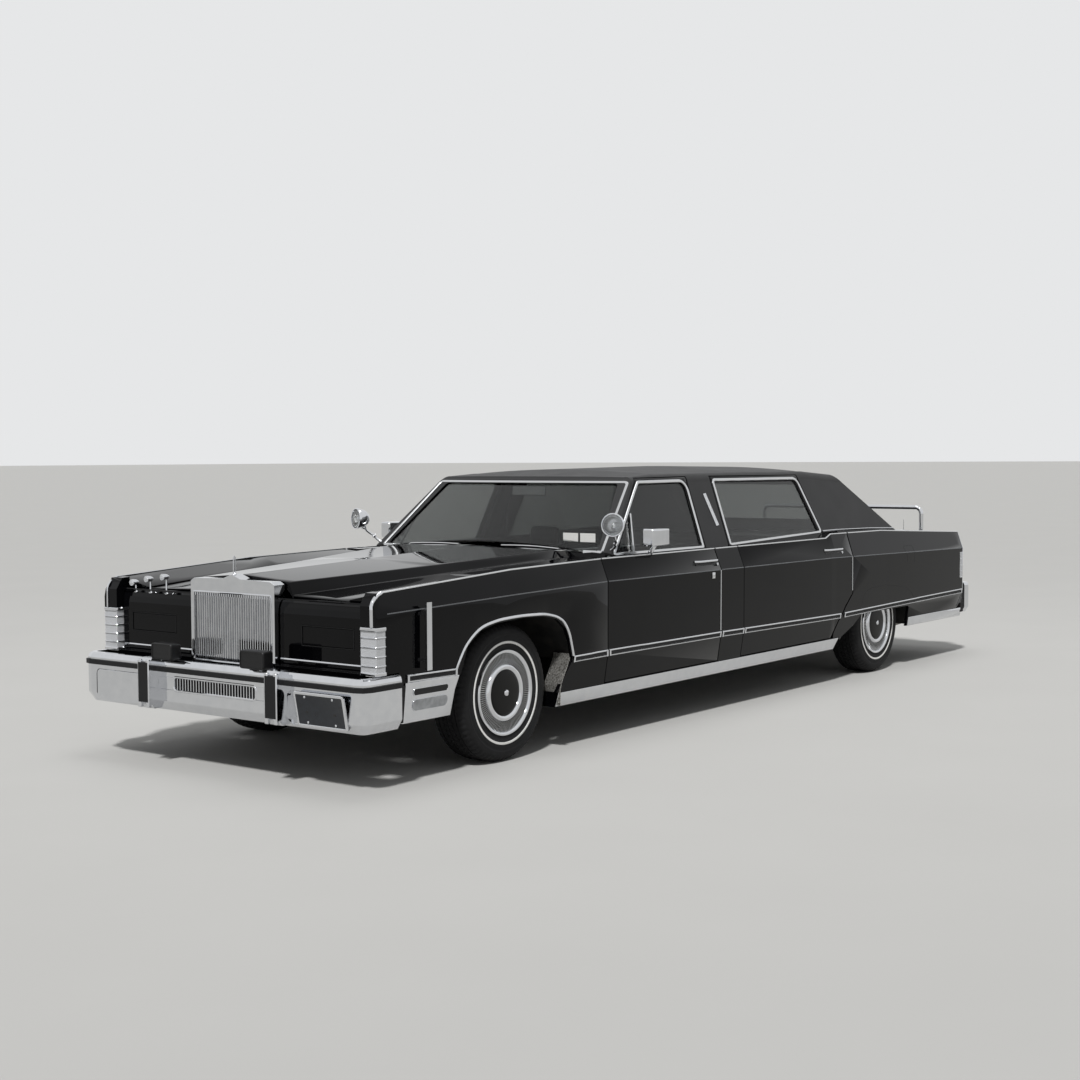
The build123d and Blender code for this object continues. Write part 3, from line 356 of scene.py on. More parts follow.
# the cornering lamps' bowls are grey behind their lenses, so they stand darker than the plating around them
grey_lens, tree, shader, place = new_material("prism_moulded_grey_lens", "lens", "#8f9193", Roughness=0.15)
prisms = add_node(tree, "ShaderNodeTexNoise", {"Scale": 1 / (35 * MM), "Detail": 2.0}, {"Vector": place})
tones = {"Color1": linear("#6d6f71"), "Color2": linear("#adafb1")}
add_node(tree, "ShaderNodeMixRGB", tones, {"Fac": prisms.outputs["Fac"]}, {"Color": shader["Base Color"]})

clear_lens, tree, shader, place = new_material(
    "fluted_clear_glass", "lens", "#f2f4f3", Roughness=0.05, IOR=1.5, Transmission_Weight=0.95
)
flutes = add_node(tree, "ShaderNodeTexWave", {"Scale": 1 / (7 * MM), "Distortion": 0.0}, {"Vector": place})
bump = {"Strength": 0.5, "Distance": 0.3 * MM}
add_node(tree, "ShaderNodeBump", bump, {"Height": flutes.outputs["Fac"]}, {"Normal": shader["Normal"]})

red_lens, tree, shader, place = new_material(
    "prism_moulded_red_lens", "lens", "#7d0d10", Roughness=0.12, Coat_Weight=0.6
)
prisms = add_node(tree, "ShaderNodeTexVoronoi", {"Scale": 1 / (9 * MM)}, {"Vector": place})
bump = {"Strength": 0.6, "Distance": 0.6 * MM}
add_node(tree, "ShaderNodeBump", bump, {"Height": prisms.outputs["Distance"]}, {"Normal": shader["Normal"]})
tones = {"Color1": linear("#5e070a"), "Color2": linear("#98181a")}
add_node(
    tree, "ShaderNodeMixRGB", tones, {"Fac": prisms.outputs["Distance"]}, {"Color": shader["Base Color"]}
)

# %% [markdown]
# ## Cabin materials
# The benches are trimmed in dark tanned leather: 4 mm grain, creases of about 50 mm, a soft sheen, slightly
# lighter where it is worn. The floor has cut-pile carpet, and the ceiling a napped cloth, both with the
# fibres' own sheen.

# %% Cabin materials
leather, tree, shader, place = new_material(
    "tanned_upholstery_leather", "upholstery", "#1a1917", Roughness=0.42
)
grain = add_node(tree, "ShaderNodeTexVoronoi", {"Scale": 1 / (4 * MM)}, {"Vector": place})
bump = {"Strength": 0.6, "Distance": 0.3 * MM}
add_node(tree, "ShaderNodeBump", bump, {"Height": grain.outputs["Distance"]}, {"Normal": shader["Normal"]})
creases = add_node(tree, "ShaderNodeTexNoise", {"Scale": 1 / (50 * MM), "Detail": 6.0}, {"Vector": place})
tones = {"Color1": linear("#11100f"), "Color2": linear("#2a2825")}
add_node(tree, "ShaderNodeMixRGB", tones, {"Fac": creases.outputs["Fac"]}, {"Color": shader["Base Color"]})
polish = {"To Min": 0.34, "To Max": 0.52}
add_node(
    tree, "ShaderNodeMapRange", polish, {"Value": creases.outputs["Fac"]}, {"Result": shader["Roughness"]}
)

carpet, tree, shader, place = new_material(
    "cut_pile_carpet", "cabin_trim", "#201f1e", Roughness=0.95, Sheen_Weight=0.3
)
pile = add_node(tree, "ShaderNodeTexNoise", {"Scale": 1 / (3.5 * MM), "Detail": 4.0}, {"Vector": place})
bump = {"Strength": 0.8, "Distance": 1.5 * MM}
add_node(tree, "ShaderNodeBump", bump, {"Height": pile.outputs["Fac"]}, {"Normal": shader["Normal"]})
tones = {"Color1": linear("#131211"), "Color2": linear("#2e2c2a")}
add_node(tree, "ShaderNodeMixRGB", tones, {"Fac": pile.outputs["Fac"]}, {"Color": shader["Base Color"]})

headlining, tree, shader, place = new_material(
    "napped_headlining_cloth", "cabin_trim", "#4b4945", Roughness=0.95, Sheen_Weight=0.4
)
nap = add_node(tree, "ShaderNodeTexNoise", {"Scale": 1 / (2.5 * MM), "Detail": 3.0}, {"Vector": place})
bump = {"Strength": 0.6, "Distance": 0.5 * MM}
add_node(tree, "ShaderNodeBump", bump, {"Height": nap.outputs["Fac"]}, {"Normal": shader["Normal"]})
tones = {"Color1": linear("#3e3c38"), "Color2": linear("#56534e")}
add_node(tree, "ShaderNodeMixRGB", tones, {"Fac": nap.outputs["Fac"]}, {"Color": shader["Base Color"]})

card_paper, tree, shader, place = new_material("pressed_white_card", "cabin_trim", "#e6e5e1", Roughness=0.8)
fibre = add_node(tree, "ShaderNodeTexNoise", {"Scale": 1 / (2 * MM), "Detail": 3.0}, {"Vector": place})
tones = {"Color1": linear("#d8d7d3"), "Color2": linear("#f0efeb")}
add_node(tree, "ShaderNodeMixRGB", tones, {"Fac": fibre.outputs["Fac"]}, {"Color": shader["Base Color"]})

plate_enamel, tree, shader, place = new_material(
    "baked_dark_plate_enamel", "black_metal", "#15171b", Roughness=0.3
)
chips = add_node(tree, "ShaderNodeTexNoise", {"Scale": 1 / (24 * MM), "Detail": 6.0}, {"Vector": place})
tones = {"Color1": linear("#0e1014"), "Color2": linear("#20242a")}
add_node(tree, "ShaderNodeMixRGB", tones, {"Fac": chips.outputs["Fac"]}, {"Color": shader["Base Color"]})
gloss = {"To Min": 0.22, "To Max": 0.4}
add_node(tree, "ShaderNodeMapRange", gloss, {"Value": chips.outputs["Fac"]}, {"Result": shader["Roughness"]})

# %% [markdown]
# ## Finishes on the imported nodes
# Each node of the model keeps its own shape, and only gets its real finish. Panels are folded sheet, so
# their edges get a narrow bevel, just wide enough to catch the light.

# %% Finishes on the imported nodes
FINISHES = {
    enamel: "fender hood cowl nose_panels door_front door_rear quarter rear_panels trunk_lid "
    "sills_and_centre_posts",
    vinyl: "roof",
    chrome: "bumpers lower_side_trims grille flag_holders auxiliary_lamps door_mirror grab_rail",
    glass: "door_glass_front door_glass_rear fixed_glass",
    lens: "corner_lamps",
    rubber: "front_bumper_rubber",
    chassis_paint: "chassis_frame floor_pan trunk_floor_and_housings",
    cast_iron: "engine_and_radiator front_suspension knuckle rear_axle",
    aluminised: "exhaust_and_tank",
    black_plastic: "dashboard cabin_bulkheads",
    tyre_rubber: "tyre_front tyre_rear",
    stainless: "wheel_front wheel_rear",
    leather: "seats",
}


def node_names(stem):
    return [n for n in (stem, f"{stem}_left", f"{stem}_right") if n in frame["nodes"]]


def round_edges(obj, width_mm):
    weld = obj.modifiers.new("weld", "WELD")
    weld.merge_threshold = 0.00002
    bevel = obj.modifiers.new("edges", "BEVEL")
    bevel.width = width_mm * MM
    bevel.segments = 2
    bevel.angle_limit = math.radians(28)
    bevel.harden_normals = True


for material, stems in FINISHES.items():
    for stem in stems.split():
        for name in node_names(stem):
            node = frame["nodes"][name]
            node.data.materials.clear()
            node.data.materials.append(material)
EDGE_WIDTHS = {"bumpers": 7, "fender": 3, "door_front": 3, "door_rear": 3, "quarter": 3, "hood": 4}
EDGE_WIDTHS |= {"nose_panels": 3, "trunk_lid": 4, "lower_side_trims": 2, "grille": 1.2, "door_mirror": 4}
for stem, width in EDGE_WIDTHS.items():
    for name in node_names(stem):
        round_edges(frame["nodes"][name], width)
print("dressed", len(frame["nodes"]), "nodes")

# %% [markdown]
# ## Making pieces
# Most trim is a bar or a strip with a constant section that follows the body. Blender's curves could be
# bevelled for this, but they twist on their own. Here a short function sweeps a section along a path and
# keeps it upright on the surface, so a strip always lies flat on its panel. A second one turns a section
# about an axle. A third mirrors a left-hand piece to make the right-hand one.


# %% Meshes, pairs and riding
def make_piece(name, mesh_data, material, body, smooth=35, bevel=0.0, slot=None):
    vertices, faces = mesh_data
    mesh = bpy.data.meshes.new(name)
    mesh.from_pydata([tuple(v) for v in vertices], [], faces)
    mesh.validate()
    piece = bpy.data.objects.new(name, mesh)
    bpy.context.scene.collection.objects.link(piece)
    tidy = bmesh.new()
    tidy.from_mesh(mesh)
    bmesh.ops.remove_doubles(tidy, verts=tidy.verts, dist=0.000005)
    bmesh.ops.recalc_face_normals(tidy, faces=tidy.faces)
    tidy.to_mesh(mesh)
    tidy.free()
    mesh.materials.append(material)
    if smooth:
        mesh.shade_smooth()
        mesh.set_sharp_from_angle(angle=math.radians(smooth))
    if bevel:
        edge = piece.modifiers.new("edges", "BEVEL")
        edge.width = bevel * MM
        edge.segments = 2
        edge.angle_limit = math.radians(35)
    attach(piece, body)
    return piece


def flipped(mesh_data):
    vertices, faces = mesh_data
    return [Vector((v[0], -v[1], v[2])) for v in vertices], [tuple(reversed(f)) for f in faces]


def other_side(body):
    return body[: -len("left")] + "right" if body.endswith("left") else body


def make_pair(name, mesh_data, material, body, **options):
    left = make_piece(f"{name}_left", mesh_data, material, body, **options)
    right = make_piece(f"{name}_right", flipped(mesh_data), material, other_side(body), **options)
    return left, right


def joined(*parts):
    vertices, faces = [], []
    for part_vertices, part_faces in parts:
        start = len(vertices)
        vertices += part_vertices
        faces += [tuple(i + start for i in face) for face in part_faces]
    return vertices, faces


# %% Sweeps, turned forms and blocks
def swept(path, outs, section, closed=False):
    """Sweeps (across, out) section points, in mm, along a path; outs are the surface normals there."""
    vertices, faces = [], []
    count, size = len(path), len(section)
    for i, point in enumerate(path):
        before = path[i - 1] if (i or closed) else point
        after = path[(i + 1) % count] if (i < count - 1 or closed) else point
        along = (after - before).normalized()
        out = (outs[i] - along * outs[i].dot(along)).normalized()
        across = along.cross(out)
        vertices += [point + across * (u * MM) + out * (v * MM) for u, v in section]
    for i in range(count if closed else count - 1):
        a, b = i * size, ((i + 1) % count) * size
        faces += [(a + k, a + (k + 1) % size, b + (k + 1) % size, b + k) for k in range(size)]
    if not closed:
        faces += [tuple(range(size))[::-1], tuple(range((count - 1) * size, count * size))]
    return vertices, faces


def tube(path, radius, sides=12):
    """A round bar along a path. Its reference is level where any run is steep, and upright elsewhere."""
    angles = [2 * math.pi * k / sides for k in range(sides)]
    ring = [(radius * math.cos(a), radius * math.sin(a)) for a in angles]
    steep = any(abs((b - a).normalized().z) > 0.9 for a, b in zip(path, path[1:]))
    reference = Vector((1, 0, 0.02)) if steep else Vector((0, 0, 1))
    return swept(path, [reference] * len(path), ring)


def turned(profile, centre, axis="y", sense=1, steps=64, closed=True):
    """Turns (outward, radius) points, in mm, about an axle through centre."""
    vertices, faces = [], []
    size = len(profile)
    for i in range(steps):
        angle = 2 * math.pi * i / steps
        c, s = math.cos(angle), math.sin(angle)
        for outward, radius in profile:
            offsets = {
                "y": (radius * c, sense * outward, radius * s),
                "x": (sense * outward, radius * c, radius * s),
                "z": (radius * c, radius * s, sense * outward),
            }
            vertices.append(centre + Vector(offsets[axis]) * MM)
    for i in range(steps):
        a, b = i * size, ((i + 1) % steps) * size
        faces += [(a + k, a + k + 1, b + k + 1, b + k) for k in range(size - 1)]
        if closed:
            faces.append((a + size - 1, a, b, b + size - 1))
    return vertices, faces


def brick(low, high):
    """A block between two corners given by at()."""
    xs, ys, zs = zip(low, high)
    vertices = [Vector((x, y, z)) for x in xs for y in ys for z in zs]
    faces = [(0, 1, 3, 2), (4, 6, 7, 5), (0, 4, 5, 1), (2, 3, 7, 6), (0, 2, 6, 4), (1, 5, 7, 3)]
    return vertices, faces


def stepped(points, step_mm):
    """Adds points so that no gap in a flat path is longer than the step."""
    found = [points[0]]
    for a, b in zip(points, points[1:]):
        length = math.dist(a, b)
        parts = max(1, math.ceil(length / step_mm))
        found += [tuple(p + (q - p) * k / parts for p, q in zip(a, b)) for k in range(1, parts + 1)]
    return found


def rounded(points, radii, steps=6):
    """A closed flat outline with its corners rounded, by one radius or by one for each corner."""
    radii = radii if isinstance(radii, (list, tuple)) else [radii] * len(points)
    found = []
    count = len(points)
    for i, (corner, radius) in enumerate(zip(points, radii)):
        corner = Vector(corner)
        before = (Vector(points[i - 1]) - corner).normalized()
        after = (Vector(points[(i + 1) % count]) - corner).normalized()
        half = before.angle(after) / 2
        cut = radius / math.tan(half)
        centre = corner + (before + after).normalized() * (radius / math.sin(half))
        start, end = corner + before * cut - centre, corner + after * cut - centre
        for k in range(steps + 1):
            found.append(tuple(centre + start.slerp(end, k / steps).normalized() * radius))
    return found


def closed_steps(outline, step_mm):
    """Points round a closed flat outline, with no gap longer than the step."""
    return stepped(list(outline) + [outline[0]], step_mm)[:-1]


def slab(front, back, backed=True):
    """A thin block between two like outlines of points, with or without its back."""
    size = len(front)
    faces = [tuple(range(size))] + ([tuple(range(size, 2 * size))] if backed else [])
    faces += [(k, (k + 1) % size, size + (k + 1) % size, size + k) for k in range(size)]
    return list(front) + list(back), faces


# %% [markdown]
# ## Finding the body's surface
# A strip has to lie on the panel, wherever the panel is. Copying the body's section here would be one more
# thing to keep in step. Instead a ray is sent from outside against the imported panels, and the place where it
# lands is the place of the strip.


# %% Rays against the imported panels
def tree_of(*names):
    vertices, faces = [], []
    for name in names:
        mesh = frame["nodes"][name].data
        start = len(vertices)
        vertices += [v.co.copy() for v in mesh.vertices]
        faces += [tuple(i + start for i in polygon.vertices) for polygon in mesh.polygons]
    return BVHTree.FromPolygons(vertices, faces)


left_side = tree_of(
    "fender_left", "door_front_left", "door_rear_left", "quarter_left", "sills_and_centre_posts", "roof",
    "lower_side_trims", "front_bumper_rubber",
)
roof_tree = tree_of("roof", "fixed_glass", "cowl")
floor_tree = tree_of("floor_pan")
top_tree = tree_of("hood", "cowl", "trunk_lid", "rear_panels", "fender_left", "quarter_left", "nose_panels")


PANE_Y, PANE_FOOT, PANE_LEAN = 892, 998, 0.40


def on_pane(behind, z, proud=0.0):
    """The leaning plane of the side windows' frames."""
    normal = Vector((0, 1, PANE_LEAN)).normalized()
    return at(behind, PANE_Y - PANE_LEAN * (z - PANE_FOOT), z) + normal * (proud * MM), normal


def on_left(behind, z):
    """The outermost point of the left side and its normal, looked for on both sides of a seam."""
    found = []
    for shift in (0, -10, 10):
        point, normal, _, _ = left_side.ray_cast(at(behind + shift, 1400, z), Vector((0, -1, 0)))
        if point:
            found.append((point, normal if normal.y > 0 else -normal, shift))
    if not found:
        return on_pane(behind, z)
    best = max(found, key=lambda hit: hit[0].y)
    if found[0][0].y > best[0].y - 0.012:
        best = found[0]
    point = best[0].copy()
    point.x = at(behind, 0, 0).x
    return point, best[1]


def from_above(behind, y, surfaces=top_tree):
    """Where a ray straight down lands, and the normal there."""
    point, normal, _, _ = surfaces.ray_cast(at(behind, y, 1700), Vector((0, 0, -1)))
    return point, normal


def side_path(line, step=60):
    """Points and normals along a (behind, height) line on the left side."""
    hits = [on_left(b, z) for b, z in stepped(line, step)]
    return [h[0] for h in hits], [h[1] for h in hits]


print("side at the front door", [round(v, 3) for v in on_left(1400, 700)[0]])

# %% [markdown]
# ## Side mouldings
# A long bright moulding with a dark insert runs from the front lamp panel to the tail, just where the side
# starts to tuck under. It is cut at each door, and each length ends in a small bright cap. It is one section
# swept along the measured line, so each length rides on its own panel.

# %% Side mouldings
MOULDING_LINE = [
    (-835, 520), (-457, 516), (464, 484), (820, 486), (1985, 482), (3578, 466), (4732, 484), (5641, 496),
]
MOULDING_RAILS = [
    (-18, 0), (-18, 3), (-15, 6.5), (-11, 6.5), (-9, 3), (-9, 2), (9, 2), (9, 3), (11, 6.5), (15, 6.5),
    (18, 3), (18, 0),
]
MOULDING_INSERT = [(-9, 1.5), (-8, 4), (-4, 5), (4, 5), (8, 4), (9, 1.5)]
MOULDING_CAP = [(-19, 0), (-19, 4), (-16, 8), (16, 8), (19, 4), (19, 0)]


def height_on(line, behind):
    for (b0, z0), (b1, z1) in zip(line, line[1:]):
        if b0 <= behind <= b1:
            return z0 + (z1 - z0) * (behind - b0) / (b1 - b0)
    return line[0][1] if behind < line[0][0] else line[-1][1]


def moulding(name, start, end, body):
    line = [(b, height_on(MOULDING_LINE, b)) for b in [start, end]]
    middle = [(b, z) for b, z in MOULDING_LINE if start < b < end]
    line = [line[0]] + middle + [line[1]]
    path, outs = side_path(line)
    make_pair(f"side_moulding_{name}", swept(path, outs, MOULDING_RAILS), chrome, body)
    make_pair(f"side_moulding_insert_{name}", swept(path, outs, MOULDING_INSERT), rubber, body)
    caps = []
    for a, b in ((start, start + 14), (end - 14, end)):
        path, outs = side_path([(a, height_on(MOULDING_LINE, a)), (b, height_on(MOULDING_LINE, b))])
        caps.append(swept(path, outs, MOULDING_CAP))
    make_pair(f"side_moulding_caps_{name}", joined(*caps), chrome, body)


# the painted highlight line lies on the body's crease, where the crease would catch the light
CREASE_LINE = [(-1000, 832), (0, 860), (800, 876), (3440, 866), (4300, 852), (5640, 831)]


def crease_highlight_stripe(name, start, end, body):
    marks = [start] + [b for b, _ in CREASE_LINE if start < b < end] + [end]
    path, outs = side_path([(b, height_on(CREASE_LINE, b)) for b in marks])
    stripe = swept(path, outs, [(-3, -0.5), (-2.6, 0.5), (2.6, 0.5), (3, -0.5)])
    make_pair(f"coach_line_{name}", stripe, highlight_line_paint, body)


crease_highlight_stripe("fender", -940, 792, "car")
crease_highlight_stripe("front_door", 808, 1988, "front_door_left")
crease_highlight_stripe("post", 2005, 2260, "car")
crease_highlight_stripe("rear_door", 2275, 3742, "rear_door_left")
crease_highlight_stripe("quarter", 3770, 5630, "car")
moulding("lamp_panel", -812, -462, "car")
moulding("fender", 478, 794, "car")
moulding("front_door", 806, 1988, "front_door_left")
moulding("post", 2003, 2262, "car")
moulding("rear_door", 2273, 3574, "rear_door_left")
moulding("quarter", 3630, 5640, "car")

# %% [markdown]
# ## Belt strip and blade edges
# A bright bead, about as thick as a pencil, marks the upper edge of the body from the tip of each front
# fender to the tail. At the front it turns down over the blade's edge to the lamp.

# %% Belt strip
# behind, y, z of the body's upper outer edge
BELT_EDGE = [
    (-955, 946, 932), (0, 955, 984), (800, 956, 998), (3440, 954, 998), (3510, 954, 1024),
    (4300, 948, 1018), (5655, 956, 957),
]
BEAD = [(5 * math.cos(a), 3.5 * math.sin(a)) for a in [k * math.pi / 5 for k in range(10)]]
BLADE_BEAD = [(9 * math.cos(a), 5 * math.sin(a)) for a in [k * math.pi / 5 for k in range(10)]]


def belt_point(behind):
    for (b0, y0, z0), (b1, y1, z1) in zip(BELT_EDGE, BELT_EDGE[1:]):
        if b0 <= behind <= b1:
            t = (behind - b0) / (b1 - b0)
            return behind, y0 + (y1 - y0) * t, z0 + (z1 - z0) * t
    return (behind,) + (BELT_EDGE[0][1:] if behind < BELT_EDGE[0][0] else BELT_EDGE[-1][1:])


def belt_bead(name, start, end, body):
    marks = [start] + [b for b, _, _ in BELT_EDGE if start < b < end] + [end]
    path = [at(*p) for p in stepped([belt_point(b) for b in marks], 80)]
    outs = [Vector((0, 0.6, 0.8))] * len(path)
    make_pair(f"belt_bead_{name}", swept(path, outs, BEAD), stainless, body)


belt_bead("fender", -950, 794, "car")
belt_bead("front_door", 806, 1990, "front_door_left")
belt_bead("post", 2003, 2262, "car")
belt_bead("rear_door", 2273, 3750, "rear_door_left")
belt_bead("quarter", 3768, 5652, "car")

blade = [
    (-1016, 946, 776), (-1016, 945, 872), (-1008, 945, 892), (-994, 946, 908), (-975, 946, 922),
    (-948, 946, 933),
]
path = [at(*p) for p in stepped(blade, 20)]
edge_outs = [Vector((1, 0.5, 0.3))] * len(path)
make_pair("blade_edge", swept(path, edge_outs, BLADE_BEAD), chrome, "car")

# %% [markdown]
# ## Wheel arch lips
# A rolled bright lip follows the front wheel opening. It is a half-round section swept just outside the
# opening's edge, found by rays like the other strips.

# %% Wheel arch lips
ARCH_LINE = [
    (-462, 505), (-435, 560), (-375, 640), (-277, 705), (-156, 731), (-50, 738), (52, 740), (150, 738),
    (224, 735), (290, 724), (335, 712), (380, 690), (413, 658), (438, 618), (452, 578), (466, 530),
    (474, 500),
]


def lip_points(line, shift):
    """The line moved outward from the wheel's centre."""
    found = []
    for b, z in line:
        length = math.hypot(b, z - HUB_Z)
        found.append((b * (1 + shift / length), z + (z - HUB_Z) * shift / length))
    return found


def between(a, b, c, d, t):
    """The value at part t of the way from b to c, on a smooth curve through a, b, c and d."""
    bend = 2 * a - 5 * b + 4 * c - d
    twist = 3 * b - a - 3 * c + d
    return 0.5 * (2 * b + (c - a) * t + bend * t * t + twist * t**3)


def eased(line):
    """A smooth curve through the points of a flat line, with five steps from each point to the next."""
    ends = [line[0]] + list(line) + [line[-1]]
    found = []
    for p0, p1, p2, p3 in zip(ends, ends[1:], ends[2:], ends[3:]):
        for k in range(5):
            t = k / 5
            found.append(tuple(between(a, b, c, d, t) for a, b, c, d in zip(p0, p1, p2, p3)))
    return found + [tuple(line[-1])]


LIP = [(-7, -3), (-7, 2), (-4, 5), (2, 6), (6, 4), (8, 0), (8, -3)]
path, outs = side_path(eased(lip_points(ARCH_LINE, 9)), 25)
outs = [Vector((0, 1, 0.05))] * len(path)
make_pair("arch_lip", swept(path, outs, LIP), chrome, "car")

# %% [markdown]
# ## Stone guards
# The rear edge of each front arch is armoured with a plate of bright metal, blasted dull by grit. It is a
# thin sheet that faces forward, held by a row of domed rivets.

# %% Stone guards
GUARD_LINE = [(479, 512), (474, 488), (436, 424), (398, 364), (388, 330), (386, 246)]
guard_path = [at(b, 928, z) for b, z in GUARD_LINE]
guard_outs = [Vector((0.9, 0, 0.1))] + [Vector((0.83, 0, 0.56))] * 3 + [Vector((1, 0, 0.1))] * 2
guard_sheet = swept(guard_path, guard_outs, [(-56, 0), (-55, 2.5), (55, 2.5), (56, 0)])
RIVET = [(1, 0), (1, 6), (4, 5), (5.5, 2), (6, 0)]
rivets = []
for b, z in ((470, 482), (446, 441), (422, 402), (386, 262)):
    for y in (884, 972):
        rivets.append(turned(RIVET, at(b, y, z), axis="x", steps=12, closed=False))
make_pair("stone_guard", joined(guard_sheet, *rivets), blasted_steel, "car")

# %% [markdown]
# ## Window surrounds
# Each side window has a polished frame, 18 mm wide, with rounded upper corners. The outline comes from the
# opening in the door, and rays set it on the leaning door frame. A thin upright divides the front window's
# vent.

# %% Window surrounds
FRONT_WINDOW = [(1064, 1010), (1500, 1392), (2006, 1398), (1964, 1010)]
REAR_WINDOW = [(2308, 1010), (2352, 1398), (3412, 1390), (3496, 1032)]
FRONT_BRIGHT = [(1020, 1006), (1494, 1403), (2021, 1405), (1974, 1006)]
REAR_BRIGHT = [(2298, 1006), (2343, 1405), (3430, 1401), (3522, 1037)]
SURROUND = [(-9, -2), (-9, 3), (-6, 6), (6, 6), (9, 3), (9, -2)]


def grown(points, amount):
    """A closed outline moved outward."""
    centre = Vector((sum(p[0] for p in points), sum(p[1] for p in points))) / len(points)
    found = []
    for i, corner in enumerate(points):
        corner = Vector(corner)
        a = (corner - Vector(points[i - 1])).normalized()
        b = (Vector(points[(i + 1) % len(points)]) - corner).normalized()
        normals = [Vector((d.y, -d.x)) for d in (a, b)]
        if normals[0].dot(corner - centre) < 0:
            normals = [-n for n in normals]
        miter = (normals[0] + normals[1]).normalized()
        found.append(tuple(corner + miter * (amount / max(0.3, miter.dot(normals[0])))))
    return found


def closed_side_loop(outline, radius):
    hits = [on_left(b, z) for b, z in closed_steps(rounded(outline, radius), 45)]
    return [h[0] for h in hits], [h[1] for h in hits]


# the feet of the frames are square, and their heads are rounded
for name, window, bright_line, radii, body in (
    ("front", FRONT_WINDOW, FRONT_BRIGHT, (6, 44, 60, 6), "front_door_left"),
    ("rear", REAR_WINDOW, REAR_BRIGHT, (6, 24, 60, 16), "rear_door_left"),
):
    path, outs = closed_side_loop(bright_line, radii)
    make_pair(f"window_surround_{name}", swept(path, outs, SURROUND, closed=True), stainless, body)
    path, outs = closed_side_loop(grown(window, 1), (2, 43, 43, 2))
    path = [p - o * 0.006 for p, o in zip(path, outs)]
    seal = swept(path, outs, [(-4, -3), (-4, 3), (4, 3), (4, -3)], closed=True)
    make_pair(f"window_seal_{name}", seal, rubber, body)


def on_glass_line(points, depth=0.0):
    """Points on the left pane's leaning plane, between the belt and the roof."""
    return [on_pane(b, z, depth - 8)[0] for b, z in points]


path = on_glass_line([(1219, 1010), (1312, 1224)], 10)
divider = swept(path, [Vector((0, 1, 0.4))] * 2, [(-7, -6), (-7, 4), (0, 7), (7, 4), (7, -6)])
make_pair("vent_divider", divider, stainless, "front_door_left")

# %% [markdown]
# ## Screens and roof edge
# The windscreen and rear window sit in bright reveals. Rays sent back from the front, and forward from the
# tail, find the raked pillars and header. The padded roof ends in a bright hem.


# %% Screens and roof edge
def from_end(y, z, sense):
    """Where a ray along the car lands on the roof or a screen; sense 1 comes from the front."""
    start = at(-1500 if sense > 0 else 6200, y, z)
    point, normal, _, _ = roof_tree.ray_cast(start, Vector((-sense, 0, 0)))
    return point, normal if normal.x * sense > 0 else -normal


def screen_loop(outline, radius, sense):
    hits = [from_end(y, z, sense) for y, z in closed_steps(rounded(outline, radius), 60)]
    return [h[0] for h in hits], [h[1] for h in hits]


SCREEN_OPENING = [(-824, 1019), (-712, 1404), (712, 1404), (824, 1019)]
TAIL_OPENING = [(-568, 1068), (-507, 1352), (507, 1352), (568, 1068)]
path, outs = screen_loop(SCREEN_OPENING, (8, 26, 26, 8), 1)
reveal = swept(path, outs, [(-9, -3), (-9, 2), (-5, 5), (5, 5), (9, 2), (9, -3)], closed=True)
make_piece("windscreen_reveal", reveal, stainless, "car")
path, outs = screen_loop(TAIL_OPENING, 34, -1)
reveal = swept(path, outs, [(-8, -3), (-8, 2), (-5, 5), (5, 5), (8, 2), (8, -3)], closed=True)
make_piece("rear_window_reveal", reveal, stainless, "car")

# the padded roof's folded hem above the body
hem = [(3545, 1034), (3762, 1034), (4300, 1026), (4640, 1014)]
path, outs = side_path([(b, z + 6) for b, z in hem], 60)
make_pair("roof_hem", swept(path, outs, [(-5, -2), (-5, 4), (0, 7), (5, 4), (5, -2)]), chrome, "car")

# %% [markdown]
# ## Opera lamps
# On the wide vinyl post stands a slim upright lamp: a bright bezel round a pale lens, leaning with the post.

# %% Opera lamps
path, outs = side_path([(2218, 1125), (2188, 1322)], 50)
bezel = [(-15, -2), (-15, 4), (-12, 8), (-9, 8), (-8, 6), (8, 6), (9, 8), (12, 8), (15, 4), (15, -2)]
make_pair("opera_lamp_bezel", swept(path, outs, bezel), chrome, "car")
path, outs = side_path([(2215, 1136), (2190, 1311)], 50)
make_pair("opera_lamp_lens", swept(path, outs, [(-8, 4), (-6, 9), (0, 11), (6, 9), (8, 4)]), lens, "car")

# %% [markdown]
# ## Door hardware
# Every door has a chromed pull bar over a dark recess, a lock, and a bright guard clipped over its rear
# edge.


# %% Door hardware
def handle(name, start, end, z, body):
    path, outs = side_path([(start, z - 12), (end, z - 12)], 40)
    recess = swept(path, outs, [(-15, -1), (-13, 1.5), (13, 1.5), (15, -1)])
    make_pair(f"handle_recess_{name}", recess, black_plastic, body)
    bar_path = []
    for k in range(15):
        t = k / 14
        point, _ = on_left(start + (end - start) * t, z)
        bar_path.append(point + Vector((0, 22 * min(1, 6 * t, 6 * (1 - t)) ** 0.5, 0)) * MM)
    bar_section = [(-6.5, 0), (-5.5, 4), (-2, 6), (2, 6), (5.5, 4), (6.5, 0), (4, -4), (-4, -4)]
    bar = swept(bar_path, [Vector((0, 1, 0.1))] * 15, bar_section)
    make_pair(f"handle_bar_{name}", bar, chrome, body)
    lock_point, _ = on_left(end - 14, z - 24)
    button = turned([(-1, 0), (-1, 9), (5, 9), (7, 7), (7, 2.5), (6, 0)], lock_point, steps=24, closed=False)
    make_pair(f"door_lock_{name}", button, chrome, body)


handle("front", 1726, 1982, 931, "front_door_left")
handle("rear", 3366, 3622, 921, "rear_door_left")

pad_path, pad_outs = side_path([(1886, 842), (1918, 842)], 30)
pad = swept(pad_path, pad_outs, [(-18, -2), (-18, 3), (-15, 5), (15, 5), (18, 3), (18, -2)])
make_pair("door_keypad_plate", pad, stainless, "front_door_left")

